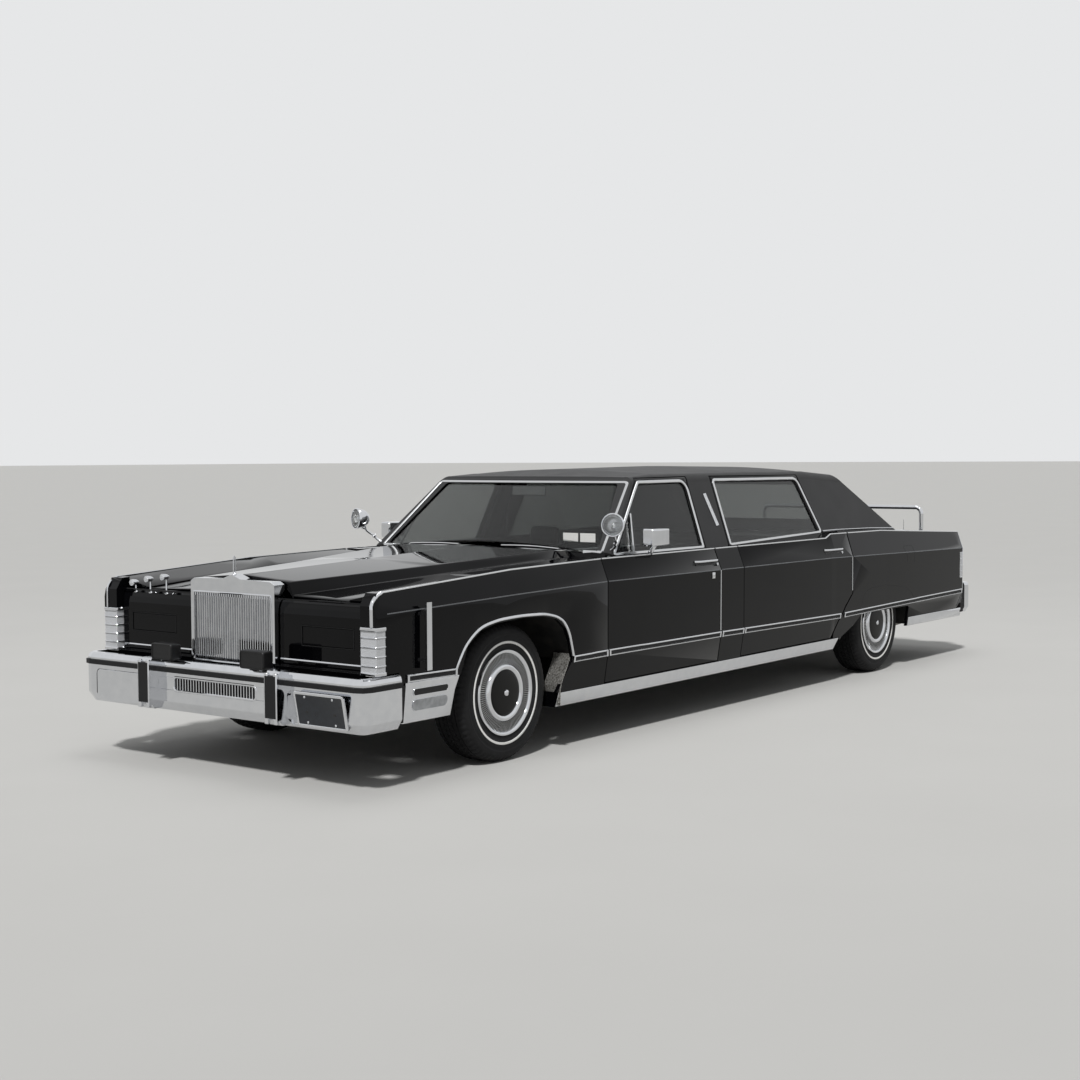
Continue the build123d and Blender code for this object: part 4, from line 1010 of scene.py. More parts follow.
GUARD = [(-5, -2), (-5, 3), (0, 5), (5, 3), (5, -2)]
path, outs = side_path([(1989, 506), (1990, 870)], 60)
make_pair("edge_guard_front_door", swept(path, outs, GUARD), chrome, "front_door_left")
path, outs = side_path([(3750, 628), (3748, 862)], 60)
make_pair("edge_guard_rear_door", swept(path, outs, GUARD), chrome, "rear_door_left")

# %% [markdown]
# ## Seams that are not edges
# The filler flap and the fender skirts are panels flush with the quarter. Their gaps are hairlines, so they
# are shown by narrow dark beads sunk almost flush, not by cutting the panel.

# %% Flush seams
HAIRLINE = [(-1.6, -1), (-1.2, 0.35), (1.2, 0.35), (1.6, -1)]
skirt = [
    (3905, 500), (3924, 570), (3975, 604), (4043, 622), (4200, 628), (4333, 624), (4500, 608), (4633, 590),
    (4723, 546), (4769, 508),
]
path, outs = side_path(skirt, 30)
make_pair("skirt_seam", swept(path, outs, HAIRLINE), rubber, "car")
flap = [
    (4653, 770), (4640, 830), (4600, 880), (4610, 893), (4740, 893), (4756, 880), (4770, 800), (4764, 770)
]
path, outs = side_path(flap, 20)
make_piece("filler_flap_seam", swept(path, outs, HAIRLINE), rubber, "car")

# behind each rear wheel a dark apron closes the wheel house down to the tail trim
path = [at(4716, 966, 470), at(4722, 966, 312)]
apron = swept(path, [Vector((1, 0, 0))] * 2, [(0, -1), (0, 1), (400, 1), (400, -1)])
make_pair("rear_splash_apron", apron, chassis_paint, "car")

# %% [markdown]
# ## Fender-tip lamps
# Each front lamp wraps round the blade's tip. Bright caps close it above and below, and four thin bright
# ribs cross the pale lens. The ribs are swept round the same corner as the lens.


# %% Fender-tip lamps
LAMP_LOW, LAMP_HIGH, LAMP_SIDE, LAMP_INNER_Y = 552, 772, 973, 872
LAMP_TIP, LAMP_CORNER = -1017, 9


def lamp_wrap(z):
    """A path in plan round the lamp, from the side round the front to the inner face."""
    centre_b = LAMP_TIP + LAMP_CORNER
    outer_y, inner_y = LAMP_SIDE + 1 - LAMP_CORNER, LAMP_INNER_Y + LAMP_CORNER
    points = [(LAMP_TIP + 66, LAMP_SIDE + 1)]
    for k in range(5):
        a = math.pi / 2 * k / 4
        points.append((centre_b - LAMP_CORNER * math.sin(a), outer_y + LAMP_CORNER * math.cos(a)))
    for k in range(5):
        a = math.pi / 2 * k / 4
        points.append((centre_b - LAMP_CORNER * math.cos(a), inner_y - LAMP_CORNER * math.sin(a)))
    points.append((LAMP_TIP + 45, LAMP_INNER_Y - 1))
    return [at(b, y, z) for b, y in points]


def wrap_outs(path):
    centre = sum(path, Vector()) / len(path)
    centre.x -= 0.02
    return [Vector((p.x - centre.x, p.y - centre.y, 0)) for p in path]


ribs = []
for k in range(1, 5):
    path = lamp_wrap(LAMP_LOW + (LAMP_HIGH - LAMP_LOW) * k / 5)
    ribs.append(swept(path, wrap_outs(path), [(-2.5, -3), (-2.5, 0.5), (0, 1.8), (2.5, 0.5), (2.5, -3)]))
make_pair("lamp_ribs", joined(*ribs), chrome, "car")
caps = []
for z in (LAMP_LOW + 6, LAMP_HIGH - 6):
    path = lamp_wrap(z)
    caps.append(swept(path, wrap_outs(path), [(-8, -4), (-8, 1), (-5, 3.5), (5, 3.5), (8, 1), (8, -4)]))
make_pair("lamp_caps", joined(*caps), chrome, "car")

# %% [markdown]
# ## Nose
# The headlamps hide behind flush doors. Their outlines are fine grooves, and a bright strip closes the panel
# below. The grille is a plated shell with fine upright bars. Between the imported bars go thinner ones, with
# cross ties behind them, so the mesh reads as fine as the real one.

# %% Nose panels and grille
NOSE_FACE = -973
DOOR_INNER_Y, DOOR_OUTER_Y = 454, 794
DOOR_LOW_Z, DOOR_HIGH_Z = 660, 755
door_lines = []
for z in (DOOR_LOW_Z, DOOR_HIGH_Z):
    low, high = at(NOSE_FACE, DOOR_INNER_Y - 2, z - 1.5), at(NOSE_FACE - 2.2, DOOR_OUTER_Y + 2, z + 1.5)
    door_lines.append(brick(low, high))
for y in (DOOR_INNER_Y, DOOR_OUTER_Y):
    low, high = at(NOSE_FACE, y - 1.5, DOOR_LOW_Z), at(NOSE_FACE - 2.2, y + 1.5, DOOR_HIGH_Z)
    door_lines.append(brick(low, high))
make_pair("headlamp_door_grooves", joined(*door_lines), rubber, "car")

strip_path = [at(NOSE_FACE - 2, y, 585) for y in (312, 500, 700, 862)]
strip_outs = [Vector((1, 0, 0))] * len(strip_path)
strip = swept(strip_path, strip_outs, [(-6, -2), (-6, 3), (0, 6), (6, 3), (6, -2)])
make_pair("nose_strip", strip, chrome, "car")
lip_path = [at(NOSE_FACE - 1, y, 875) for y in (308, 500, 700, 866)]
lip = swept(lip_path, strip_outs, [(-4, -4), (-4, 2), (0, 4), (4, 2), (4, -4)])
make_pair("nose_upper_lip", lip, enamel, "car")

GRILLE_Y = 274
GRILLE_Z = (548, 886)
FINE_BARS = 66
fine = []
for k in range(FINE_BARS):
    y = -GRILLE_Y + 2 * GRILLE_Y * (k + 0.5) / FINE_BARS
    fine.append(brick(at(-978, y - 1.3, GRILLE_Z[0]), at(-995, y + 1.3, GRILLE_Z[1])))
make_piece("grille_fine_bars", joined(*fine), chrome, "car", smooth=None)
ties = [brick(at(-972, -GRILLE_Y, z - 2), at(-977, GRILLE_Y, z + 2)) for z in (600, 660, 717, 775, 832)]
make_piece("grille_cross_ties", joined(*ties), stainless, "car", smooth=None)
back = brick(at(-940, -GRILLE_Y, GRILLE_Z[0]), at(-944, GRILLE_Y, GRILLE_Z[1]))
make_piece("grille_backing", back, black_plastic, "car", bevel=1.0)

bead_y, (bead_low, bead_high) = GRILLE_Y + 4, (GRILLE_Z[0] - 4, GRILLE_Z[1] + 4)
inner = [(-bead_y, bead_low), (-bead_y, bead_high), (bead_y, bead_high), (bead_y, bead_low)]
path = [at(-1005, y, z) for y, z in stepped(rounded(inner, 8, 4), 60)]
GRILLE_BEAD = [(-5, -2), (-4, 3), (0, 5), (4, 3), (5, -2)]
bead = swept(path, [Vector((1, 0, 0))] * len(path), GRILLE_BEAD, closed=True)
make_piece("grille_inner_bead", bead, chrome, "car")
TOP_TEETH = 34
teeth = []
for k in range(TOP_TEETH):
    y = -GRILLE_Y + 2 * GRILLE_Y * (k + 0.5) / TOP_TEETH
    teeth.append(brick(at(-996, y - 3.4, GRILLE_Z[1] - 16), at(-1006, y + 3.4, GRILLE_Z[1] - 1)))
make_piece("grille_top_teeth", joined(*teeth), chrome, "car", smooth=None, bevel=1.2)

# %% [markdown]
# ## Hood ornament
# A slender upright stands on the grille: a fin in a thin frame of bent wire, on a turned foot. The wire is a
# tube along five points, which is all that a bend of this size needs.

# %% Hood ornament
foot_form = [(0, 0), (0, 11), (6, 10), (10, 5), (12, 3), (12, 0)]
foot = turned(foot_form, at(-985, 0, 979), axis="z", steps=24, closed=False)
fin_path = [at(-985, 0, 985), at(-983, 0, 1072)]
fin = swept(fin_path, [Vector((1, 0, 0))] * 2, [(-1.5, -3), (-1.5, 3), (1.5, 3), (1.5, -3)])
bend = [at(-992, 0, 988), at(-991, 0, 1066), at(-984, 0, 1074), at(-976, 0, 1066), at(-975, 0, 988)]
make_piece("hood_ornament", joined(foot, fin, tube(bend, 1.6, 8)), chrome, "car")

# %% [markdown]
# ## Bumper and lamps on it
# The front bumper is plated steel with black rubber pads. The driving lamps wear plain moulded covers, and
# each stands on a stud. The blank number plate hangs in the left recess in a bright frame.


# %% Driving lamp covers
def lamp_cover(name, y0, y1, z0, z1):
    """A moulded cover with rounded corners, a rolled edge and a sunk panel. Returns the lamp's foot."""
    outline = rounded([(y0, z0), (y1, z0), (y1, z1), (y0, z1)], 15, 5)
    middle = ((y0 + y1) / 2, (z0 + z1) / 2)
    rings = [
        (-1106, 0.94), (-1110, 0.98), (-1116, 1.0), (-1156, 1.0), (-1164, 0.985), (-1169, 0.95),
        (-1171, 0.9), (-1171, 0.84), (-1168, 0.82), (-1167, 0.5), (-1168, 0.1),
    ]
    vertices, faces = [], []
    for b, scale in rings:
        for y, z in outline:
            reach = (1 - scale) * (z1 - z0) / 2
            toward_y = middle[0] + (y - middle[0]) * (1 - 2 * reach / (y1 - y0))
            toward_z = middle[1] + (z - middle[1]) * (1 - 2 * reach / (z1 - z0))
            vertices.append(at(b, toward_y, toward_z))
    size = len(outline)
    for i in range(len(rings) - 1):
        a, b = i * size, (i + 1) * size
        faces += [(a + k, a + (k + 1) % size, b + (k + 1) % size, b + k) for k in range(size)]
    faces += [tuple(range(size)), tuple(range((len(rings) - 1) * size, len(rings) * size))]
    make_piece(f"driving_lamp_cover_{name}", (vertices, faces), black_plastic, "car", smooth=40)
    foot_form = [(0, 0), (0, 18), (5, 18), (8, 12), (10, 8), (26, 8), (26, 0)]
    return turned(foot_form, at(-1112, middle[0], 547), axis="z", steps=24)


lamp_feet = [lamp_cover("left", 226, 394, 552, 642), lamp_cover("right", -416, -262, 552, 636)]
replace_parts(make_piece("driving_lamp_feet", joined(*lamp_feet), chrome, "car"), "auxiliary_lamps")


# %% Number plates
PLATE_WIDTH, PLATE_HEIGHT = 305, 152
PLATE_HOLES = 178, 124


def plate(name, centre, lean, facing):
    """A blank pressed plate in a wide bright frame, with four bolts; facing is 1 ahead, -1 astern.
    Its foot is `lean` degrees farther in than its head."""
    half_w, half_h = PLATE_WIDTH / 2, PLATE_HEIGHT / 2
    outline = rounded([(-half_w, -half_h), (half_w, -half_h), (half_w, half_h), (-half_w, half_h)], 9, 5)
    slope, rise = math.sin(math.radians(lean)), math.cos(math.radians(lean))

    def place(u, v, out):
        return centre + Vector((facing * (out * rise + v * slope), u, v * rise - out * slope)) * MM

    vertices = []
    rings = [(1.0, 0), (1.0, 1.6), (0.985, 2.6), (0.965, 1.2)]
    for scale, out in rings:
        vertices += [place(u * scale, v * (1 - (1 - scale) * half_w / half_h), out) for u, v in outline]
    size = len(outline)
    faces = [tuple(range(size)), tuple(range(3 * size, 4 * size))]
    for a in range(0, 3 * size, size):
        faces += [(a + k, a + (k + 1) % size, a + size + (k + 1) % size, a + size + k) for k in range(size)]
    make_piece(f"blank_plate_{name}", (vertices, faces), plate_enamel, "car")
    path = [place(u, v, 2) for u, v in closed_steps(outline, 40)]
    out_way = Vector((facing * rise, 0, -slope))
    section = [
        (-4 * facing, -5), (-4 * facing, 1), (-2 * facing, 3), (8 * facing, 3), (11 * facing, 1),
        (11 * facing, -5),
    ]
    rim = swept(path, [out_way] * len(path), section, closed=True)
    bolts = []
    head = [(1, 0), (1, 6), (4, 6), (5.5, 3), (5.5, 0)]
    for u in (-PLATE_HOLES[0] / 2, PLATE_HOLES[0] / 2):
        for v in (-PLATE_HOLES[1] / 2, PLATE_HOLES[1] / 2):
            bolts.append(turned(head, place(u, v, 0), axis="x", sense=facing, steps=16, closed=False))
    make_piece(f"plate_frame_{name}", joined(rim, *bolts), chrome, "car")


PLATE_Y, PLATE_LEAN = 738, 11
plate("front", at(-1141, PLATE_Y, 388), PLATE_LEAN, 1)
arm_ys = (PLATE_Y - PLATE_HOLES[0] / 2, PLATE_Y + PLATE_HOLES[0] / 2)
arms = [brick(at(-1103, y - 9, 372), at(-1141, y + 9, 404)) for y in arm_ys]
make_piece("plate_bracket_arms", joined(*arms), chassis_paint, "car", bevel=1.5)

# %% Bumper hardware
slot_frame = rounded([(-297, 398), (297, 398), (297, 466), (-297, 466)], 20, 6)
path = [at(-1130, y, z) for y, z in closed_steps(slot_frame, 40)]
SLOT_RIM = [(-6, -22), (-6, 0), (-3, 3), (3, 3), (6, 0), (6, -3)]
slot_rim = swept(path, [Vector((1, 0, 0))] * len(path), SLOT_RIM, closed=True)
make_piece("bumper_slot_rim", slot_rim, chrome, "car")
slot_back = brick(at(-1109, -404, 404), at(-1111, 404, 462))
make_piece("bumper_slot_back", slot_back, black_plastic, "car", bevel=0.5)
# the slot's outer ends are closed flush with the bumper's face
ends = [brick(at(-1109, sense * 296, 400), at(-1129.5, sense * 410, 464)) for sense in (1, -1)]
make_piece("bumper_slot_ends", joined(*ends), chrome, "car", bevel=2)
# the right-hand recess holds no plate, so a flush pressing covers it
cover = rounded([(-897, 306), (-510, 306), (-510, 464), (-897, 464)], 24, 6)
cover_back, cover_front = ([at(b, y, z) for y, z in cover] for b in (-1105, -1129.5))
make_piece("bumper_recess_cover", slab(cover_back, cover_front), chrome, "car", bevel=2)
# bright cheeks narrow the rubber on the bumper guards to a strip
cheeks = []
for sense in (1, -1):
    for y0, y1 in ((415, 438), (476, 499)):
        cheeks.append(brick(at(-1170, sense * y0, 306), at(-1189.6, sense * y1, 548)))
make_piece("bumper_guard_cheeks", joined(*cheeks), chrome, "car", bevel=4)

# %% [markdown]
# ## Lamp panels ahead of the front wheels
# Low on each fender a bright panel holds a dark slot above a pale cornering lamp, both with rounded ends.

# %% Cornering lamps
CORNERING = [("slot", 434, 468, black_plastic, 1.5), ("lamp", 362, 414, grey_lens, 5)]
for name, low, high, material, reach in CORNERING:
    outline = rounded([(-764, low), (-764, high), (-516, high), (-526, low)], (high - low) * 0.42, 5)
    hits = [on_left(b, z) for b, z in closed_steps(outline, 30)]
    rim_path, rim_outs = [h[0] for h in hits], [h[1] for h in hits]
    rim = swept(rim_path, rim_outs, [(-3, -2), (-2, 4), (2, 4), (3, -2)], closed=True)
    make_pair(f"cornering_{name}_rim", rim, chrome, "car")
    face_points = [p + o * (reach * MM) for p, o in hits]
    back_points = [p - o * (1 * MM) for p, o in hits]
    make_pair(f"cornering_{name}_face", slab(face_points, back_points, backed=False), material, "car")

# %% [markdown]
# ## Marker lamps and spotlights
# Three small bullet lamps stand on the right headlamp panel, and a swivelling spotlight on each windscreen
# pillar. Both are turned forms: a bright bezel, a clear lens, a pointed shell.

# %% Marker lamps
BULLET = [
    (-34, 0), (-34, 3), (-28, 9), (-16, 14.5), (0, 16.5), (10, 17), (13, 17.5), (15, 16), (15, 13.5), (12, 0)
]
BULLET_LENS = [(12, 0), (14, 13.5), (17, 11), (18.5, 5), (19, 0)]
NOSE_TOP_Z = 861
for k, (y, z) in enumerate(((-783, 909), (-667, 931), (-541, 946))):
    centre = at(-974, y, z)
    make_piece(f"marker_lamp_shell_{k + 1}", turned(BULLET, centre, axis="x", steps=32), chrome, "car")
    make_piece(f"marker_lamp_lens_{k + 1}", turned(BULLET_LENS, centre, axis="x", steps=32), lens, "car")
    reach = z - NOSE_TOP_Z - 8
    stalk_form = [(-4, 0), (-4, 10), (0, 10), (4, 6), (8, 4.5), (reach, 4.5), (reach, 0)]
    stalk = turned(stalk_form, at(-958, y, NOSE_TOP_Z), axis="z", steps=20)
    make_piece(f"marker_lamp_stalk_{k + 1}", stalk, chrome, "car")


# %% Spotlights
def spotlight(side, sense):
    face, back = at(905, 964 * sense, 1178), at(985, 934 * sense, 1174)
    out = (face - back).normalized()
    turn = Vector((1, 0, 0)).rotation_difference(out).to_matrix().to_4x4()
    place = Matrix.Translation(face) @ turn

    def moved(mesh_data):
        return [place @ v for v in mesh_data[0]], mesh_data[1]

    origin = Vector((0, 0, 0))
    shell = [
        (-84, 0), (-83, 12), (-74, 32), (-56, 49), (-30, 59), (-8, 62), (-6, 65), (4, 66),
        (8, 64), (8, 59), (2, 58), (-6, 57), (-30, 54), (-56, 43), (-72, 28), (-78, 0),
    ]
    make_piece(f"spotlight_shell_{side}", moved(turned(shell, origin, axis="x", steps=48)), chrome, "car")
    # a pressed bowl, a little rough, so that it gathers light from all round
    dish_form = [(1, 57), (-10, 50), (-28, 30), (-36, 8), (-37, 0)]
    dish = turned(dish_form, origin, axis="x", steps=48, closed=False)
    make_piece(f"spotlight_dish_{side}", moved(dish), stainless, "car")
    cover = turned([(2, 58), (6, 50), (9, 28), (10, 0)], origin, axis="x", steps=48, closed=False)
    make_piece(f"spotlight_lens_{side}", moved(cover), clear_lens, "car")
    bulb_form = [(-36, 0), (-36, 10), (-22, 13), (-12, 9), (-8, 0)]
    bulb = turned(bulb_form, origin, axis="x", steps=24, closed=False)
    make_piece(f"spotlight_bulb_{side}", moved(bulb), chrome, "car")
    # the arm runs from a yoke under the shell, round an elbow, to a socket in the screen pillar
    arm_line = [
        (946, 944, 1130), (962, 938, 1104), (985, 928, 1086), (1006, 912, 1068), (1020, 896, 1046),
        (1026, 868, 1030),
    ]
    arm = tube([at(b, y * sense, z) for b, y, z in arm_line], 8, 12)
    yoke_form = [(0, 0), (0, 15), (6, 17), (18, 15), (24, 9), (24, 0)]
    yoke = turned(yoke_form, at(946, 944 * sense, 1112), axis="z", steps=24)
    elbow_form = [(-13, 0), (-11, 8), (0, 14), (11, 8), (13, 0)]
    elbow = turned(elbow_form, at(1006, 912 * sense, 1068), axis="z", steps=24)
    make_piece(f"spotlight_arm_{side}", joined(arm, yoke, elbow), chrome, "car")


spotlight("left", 1)
spotlight("right", -1)

# %% [markdown]
# ## Door mirrors
# The mirror head is a plated box with its glass at the back.

# %% Door mirror glass
outline = rounded([(967, 1055), (1029, 1055), (1029, 1139), (967, 1139)], 8, 4)
mirror_face, mirror_back = ([at(b, y, z) for y, z in outline] for b in (1366.5, 1365))
make_pair("door_mirror_glass", slab(mirror_face, mirror_back, backed=False), mirror_glass, "front_door_left")

# %% [markdown]
# ## Wipers and small fittings
# Two wipers lie along the foot of the windscreen. Their arms are set by rays sent down onto the cowl and the
# glass. A short aerial stands on the left of the deck.

# %% Wipers and aerial
WIPERS = (("left", 560, 120), ("right", -180, -640))
WIPER_FOOT, WIPER_SWEEP = 956, 26
for name, pivot_y, tip_y in WIPERS:
    foot_point, _ = from_above(WIPER_FOOT, pivot_y, roof_tree)
    arm_path, arm_outs = [], []
    for k in range(9):
        t = k / 8
        y = pivot_y + (tip_y - pivot_y) * t
        spot, _ = from_above(WIPER_FOOT + WIPER_SWEEP * t, y, roof_tree)
        arm_path.append(spot + Vector((0, 0, 0.012 + 0.006 * math.sin(math.pi * t))))
        arm_outs.append(Vector((0, 0, 1)))
    arm = swept(arm_path, arm_outs, [(-4, -2), (-3, 3), (3, 3), (4, -2)])
    make_piece(f"wiper_arm_{name}", arm, stainless, "car")
    blade_path = [p + Vector((-0.012, 0, -0.004)) for p in arm_path[1:]]
    wiper_blade = swept(blade_path, arm_outs[1:], [(-3, -6), (-1, -6), (-3, 3), (3, 3), (1, -6), (3, -6)])
    make_piece(f"wiper_blade_{name}", wiper_blade, rubber, "car")
    boss_form = [(-4, 0), (-4, 14), (8, 12), (12, 8), (14, 0)]
    boss = turned(boss_form, foot_point, axis="z", steps=24, closed=False)
    make_piece(f"wiper_boss_{name}", boss, black_plastic, "car")

LID_FRONT, LID_SIDE = 4886, 790
spot, _ = from_above(5230, 700)
aerial = joined(
    turned([(-2, 0), (-2, 12), (8, 10), (14, 5), (16, 0)], spot, axis="z", steps=20, closed=False),
    turned([(10, 0), (10, 2.2), (88, 1.6), (92, 2.6), (95, 0)], spot, axis="z", steps=12, closed=False),
)
on_lid = behind_of(spot) > LID_FRONT and spot.y < LID_SIDE * MM
make_piece("deck_aerial", aerial, chrome, "trunk_body" if on_lid else "car")

# %% [markdown]
# ## Tyres
# A tyre is one turned section with ribs and grooves. After turning, every third step of the shoulders and
# rows is pushed in, which makes the tread's cross cuts. The thin white line is a raised band on the side
# wall.

# %% Tyres
TYRE_STEPS = 198
TYRE_HALF = [
    (84, 203), (92, 206), (100, 224), (106, 244), (108.5, 250), (110, 262), (110, 284), (108, 288),
    (108, 296), (110, 300), (108, 314), (104, 326), (99, 334), (92, 342), (84, 348), (76, 351),
    (64, 353), (60, 353), (59, 345), (53, 345), (52, 353.5), (36, 354.2), (32, 354.4), (31, 346),
    (25, 346), (24, 354.6), (6, 355), (4, 355), (3, 347), (0, 347),
]
TYRE_SECTION = TYRE_HALF + [(-u, r) for u, r in reversed(TYRE_HALF[:-1])]


def tyre_mesh(centre, sense):
    """The turned section, with rows of cross cuts pressed 6 mm into the shoulders and the centre."""
    vertices, faces = turned(TYRE_SECTION, centre, sense=sense, steps=TYRE_STEPS, closed=False)
    for i in range(TYRE_STEPS):
        for k, (outward, radius) in enumerate(TYRE_SECTION):
            shoulder = 60 < abs(outward) <= 99 and radius > 333 and i % 3 == 0
            centre_row = 5 < abs(outward) < 28 and radius > 352 and i % 3 == 0
            side_row = 28 < abs(outward) < 52 and radius > 352 and i % 3 == 1
            if shoulder or centre_row or side_row:
                vertex = vertices[i * len(TYRE_SECTION) + k]
                inward = Vector((centre.x - vertex.x, 0, centre.z - vertex.z)).normalized()
                vertices[i * len(TYRE_SECTION) + k] = vertex + inward * 6 * MM
    return vertices, faces


# %% [markdown]
# ## Wheel covers
# The cover is a deep pressed dish: a bright outer ring, a sunk dark ring crossed by 108 fine radial fins, a
# bright inner ring and a plain black centre. The fins are what the eye notices, so each one is a real wedge.

# %% Wheel covers
cover_black, tree, shader, place = new_material(
    "stoved_black_cover_enamel", "wheel_cover", "#030303", Roughness=0.35, Specular_IOR_Level=0.2
)
# brake dust settles in spots of about 5 mm and takes the gloss away
brake_dust = add_node(tree, "ShaderNodeTexNoise", {"Scale": 1 / (5 * MM), "Detail": 5.0}, {"Vector": place})
tones = {"Color1": linear("#020202"), "Color2": linear("#0b0a09")}
add_node(
    tree, "ShaderNodeMixRGB", tones, {"Fac": brake_dust.outputs["Fac"]}, {"Color": shader["Base Color"]}
)
dull = {"To Min": 0.25, "To Max": 0.55}
add_node(
    tree, "ShaderNodeMapRange", dull, {"Value": brake_dust.outputs["Fac"]}, {"Result": shader["Roughness"]}
)

OUTER_RING = [(86, 202), (98, 218), (104, 220.5), (109, 218), (110, 211), (107, 204), (101, 200), (95, 199)]
FIN_BED = [(97, 202), (92, 196), (90, 172), (92, 152), (97, 146)]
INNER_RING = [(94, 150), (104, 147), (110, 141), (112, 132), (109, 122), (104, 117), (100, 116)]
CENTRE = [(101, 118), (104, 115), (107, 100), (110, 60), (111.5, 25), (112, 0)]
STUD = [(111, 17), (115, 15), (118, 8), (119, 0)]
WHITE_LINE = [(108.6, 252), (110.8, 253.5), (111.2, 262), (109.6, 265)]
RIM_BACK = [(-84, 204), (-84, 190), (-70, 186), (40, 184), (60, 175), (66, 120), (66, 60), (84, 60), (84, 0)]
RIM_FRONT = [(-84, 204), (-76, 196), (-40, 192), (84, 192), (90, 203)]
FINS = 108


def fins(centre, sense):
    parts = []
    for k in range(FINS):
        angle = 2 * math.pi * k / FINS
        radial = Vector((math.cos(angle), 0, math.sin(angle)))
        side = Vector((-math.sin(angle), 0, math.cos(angle)))
        rows = []
        for radius, width, low, high in ((147, 1.9, 90, 108), (176, 2.5, 88, 104), (201, 3.0, 92, 103)):
            for offset, outward in ((-width, low), (-width * 0.5, high), (width * 0.5, high), (width, low)):
                across = (radial * radius + side * offset) * MM
                rows.append(centre + across + Vector((0, sense * outward * MM, 0)))
        starts = [r * 4 + c for r in range(2) for c in range(3)]
        faces = [(first, first + 1, first + 5, first + 4) for first in starts]
        faces += [(0, 1, 2, 3), (8, 9, 10, 11)]
        parts.append((rows, faces))
    return joined(*parts)


for end in ("front", "rear"):
    for side, sense in (("left", 1), ("right", -1)):
        body = f"{end}_wheel_{side}"
        low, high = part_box(f"tyre_{end}_{side}")
        centre = (low + high) / 2
        tread = tyre_mesh(centre, sense)
        tyre = make_piece(f"tyre_dressed_{end}_{side}", tread, tyre_rubber, body, smooth=30)
        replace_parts(tyre, f"tyre_{end}_{side}")
        band = turned(WHITE_LINE, centre, sense=sense, steps=96, closed=False)
        make_piece(f"white_line_{end}_{side}", band, white_rubber, body)
        rim = joined(
            turned(RIM_BACK, centre, sense=sense, steps=72, closed=False),
            turned(RIM_FRONT, centre, sense=sense, steps=72, closed=False),
        )
        rim_piece = make_piece(f"rim_{end}_{side}", rim, chassis_paint, body)
        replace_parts(rim_piece, f"wheel_{end}_{side}")
        rings = joined(
            turned(OUTER_RING, centre, sense=sense, steps=96, closed=False),
            turned(INNER_RING, centre, sense=sense, steps=96, closed=False),
        )
        make_piece(f"cover_rings_{end}_{side}", rings, chrome, body, slot="wheel_cover")
        bed = turned(FIN_BED, centre, sense=sense, steps=96, closed=False)
        make_piece(f"cover_bed_{end}_{side}", bed, cover_black, body, slot="wheel_cover")
        wedges = fins(centre, sense)
        make_piece(f"cover_fins_{end}_{side}", wedges, stainless, body, smooth=None, slot="wheel_cover")
        disc = turned(CENTRE, centre, sense=sense, steps=72, closed=False)
        make_piece(f"cover_centre_{end}_{side}", disc, cover_black, body, slot="wheel_cover")
        stud = turned(STUD, centre, sense=sense, steps=32, closed=False)
        make_piece(f"cover_stud_{end}_{side}", stud, chrome, body, slot="wheel_cover")
print("wheels dressed")

# %% [markdown]
# ## Seats
# A bench is a row of stuffed cushions: crowned, pulled in at the seams, flat below. Each one starts as a
# rounded block, is remeshed to even squares and blown up a little by a cloth simulation with inner pressure.
# Sewn channels come after that, because a remesh would erase them.


# %% Soft cushions
def cushion_block(low, high, lean=0.0):
    """A block whose top leans back by `lean` mm for each mm of height."""
    vertices, faces = brick(low, high)
    shifted = [Vector((v.x - lean * (v.z - low.z), v.y, v.z)) for v in vertices]
    return shifted, faces


def inflate(piece, cap_mm, voxel_mm):
    remesh = piece.modifiers.new("even", "REMESH")
    remesh.mode = "VOXEL"
    remesh.voxel_size = voxel_mm * MM
    bpy.context.view_layer.objects.active = piece
    bpy.ops.object.modifier_apply(modifier="even")
    rest = [v.co.copy() for v in piece.data.vertices]
    cloth = piece.modifiers.new("stuffing", "CLOTH")
    cloth.settings.use_pressure = True
    cloth.settings.uniform_pressure_force = 4
    cloth.settings.effector_weights.gravity = 0
    cloth.settings.quality = 4
    for step in range(1, 21):
        bpy.context.scene.frame_set(step)
    bpy.ops.object.modifier_apply(modifier="stuffing")
    bpy.context.scene.frame_set(1)
    for vertex, start in zip(piece.data.vertices, rest):
        move = vertex.co - start
        if move.length > cap_mm * MM:
            vertex.co = start + move.normalized() * cap_mm * MM


def stuffed(name, block, crown_mm, cap_mm, voxel_mm):
    """A leather cushion: a block with its edges crowned, blown up a little."""
    piece = make_piece(name, block, leather, "car")
    crown = piece.modifiers.new("crown", "BEVEL")
    crown.width = crown_mm * MM
    crown.segments = 4
    bpy.context.view_layer.objects.active = piece
    bpy.ops.object.modifier_apply(modifier="crown")
    inflate(piece, cap_mm, voxel_mm)
    return piece


def channels(piece, axis, spacing_mm, depth_mm, facing):
    """Presses sewn channels into the faces that look along `facing`."""
    normals = [v.normal.copy() for v in piece.data.vertices]
    for vertex, normal in zip(piece.data.vertices, normals):
        share = max(0.0, normal.dot(facing))
        phase = (vertex.co[axis] / (spacing_mm * MM)) * math.pi
        groove = 1 - abs(math.sin(phase)) ** 0.35
        vertex.co -= normal * (groove * share * depth_mm * MM)


